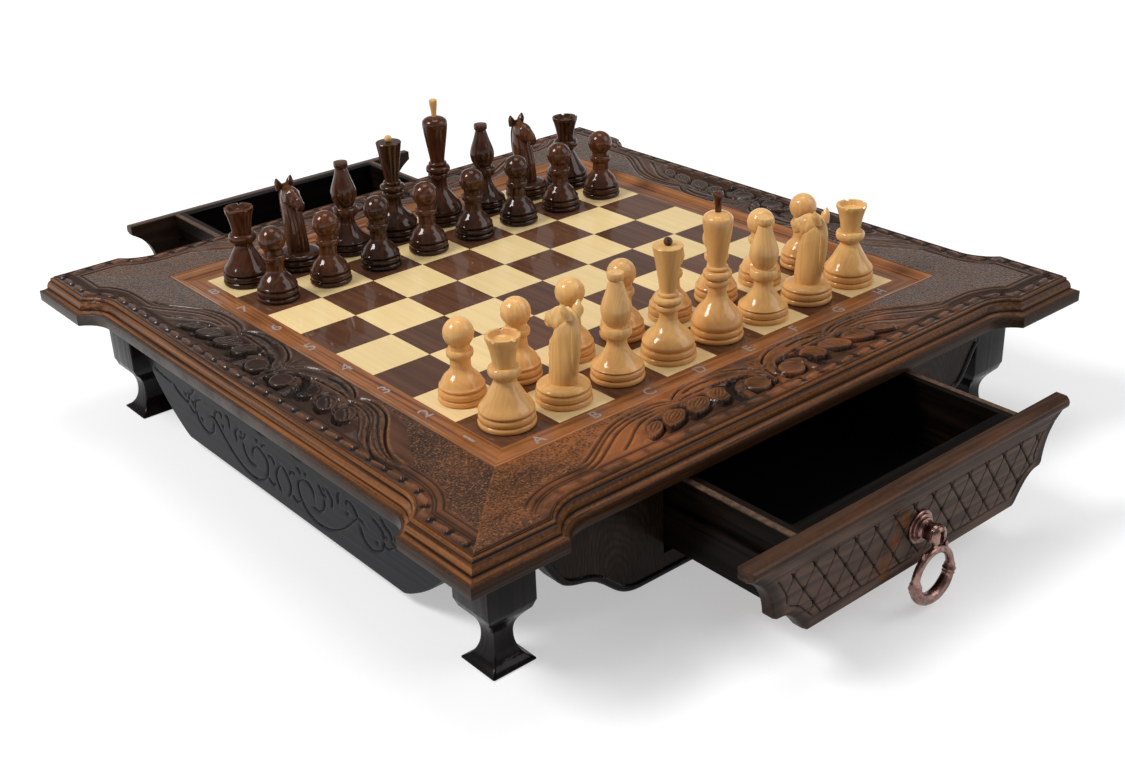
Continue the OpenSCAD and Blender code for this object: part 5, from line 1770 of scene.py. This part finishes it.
def looking(place, target):
    """World matrix of a lamp at a place whose -z points to the target."""
    z = np.subtract(place, target).astype(float)
    z /= np.linalg.norm(z)
    x = np.cross([0, 0, 1], z)
    x /= np.linalg.norm(x)
    return world_matrix(x, np.cross(z, x), z, place)


def put_camera():
    """The camera over the near left corner, from its place and the axes of its picture."""
    lens = bpy.data.cameras.new("camera")
    lens.sensor_width = SENSOR
    lens.lens = FOCAL_PIXELS / PICTURE_WIDTH * SENSOR
    lens.clip_end = 50.0
    camera = bpy.data.objects.new("camera", lens)
    bpy.context.scene.collection.objects.link(camera)
    right, down = (0.76345, -0.64488, -0.03570), (-0.31405, -0.32236, -0.89301)
    ahead, place = (0.564375, 0.692976, -0.448626), (-0.57674, -0.72482, 0.48175)
    camera.matrix_world = world_matrix(right, np.negative(down), np.negative(ahead), place)
    bpy.context.scene.camera = camera


class CHESSBOX_OT_stage(Builder, bpy.types.Operator):
    """Set the floor, the sky, the lamps and the camera"""

    bl_idname = "chess_box.stage"
    bl_label = "Stage"

    def build(self):
        bpy.context.scene.view_settings.view_transform = "Standard"
        put_floor()
        put_sky()
        put_lamps()
        put_camera()


OPERATORS = (
    CHESSBOX_OT_finishes,
    CHESSBOX_OT_rails,
    CHESSBOX_OT_bead,
    CHESSBOX_OT_aprons,
    CHESSBOX_OT_feet,
    CHESSBOX_OT_drawer_fronts,
    CHESSBOX_OT_rings,
    CHESSBOX_OT_pawns,
    CHESSBOX_OT_rooks,
    CHESSBOX_OT_knights,
    CHESSBOX_OT_bishops,
    CHESSBOX_OT_queens,
    CHESSBOX_OT_kings,
    CHESSBOX_OT_marks,
    CHESSBOX_OT_stage,
)


class CHESSBOX_PT_panel(bpy.types.Panel):
    """Lists the colours, the sizes and the builders"""

    bl_idname = "CHESSBOX_PT_panel"
    bl_label = "Chess Box"
    bl_space_type = "VIEW_3D"
    bl_region_type = "UI"
    bl_category = "Chess Box"

    def draw(self, context):
        column = self.layout.column()
        for settings in (context.scene.chess_box_colours, context.scene.chess_box_sizes):
            for key in settings.__annotations__:
                column.prop(settings, key)
        for operator in OPERATORS:
            column.operator(operator.bl_idname)


CLASSES = (ChessBoxColours, ChessBoxSizes, *OPERATORS, CHESSBOX_PT_panel)


def register():
    for cls in CLASSES:
        bpy.utils.register_class(cls)
    bpy.types.Scene.chess_box_colours = PointerProperty(type=ChessBoxColours)
    bpy.types.Scene.chess_box_sizes = PointerProperty(type=ChessBoxSizes)


def unregister():
    del bpy.types.Scene.chess_box_sizes
    del bpy.types.Scene.chess_box_colours
    for cls in reversed(CLASSES):
        bpy.utils.unregister_class(cls)


def main():
    """Registers the classes and builds every piece; the CAD parts that a piece replaces stay in the scene,
    hidden.
    """
    register()
    for operator in OPERATORS:
        getattr(bpy.ops.chess_box, operator.bl_idname.split(".")[1])()


if __name__ == "__main__":
    main()
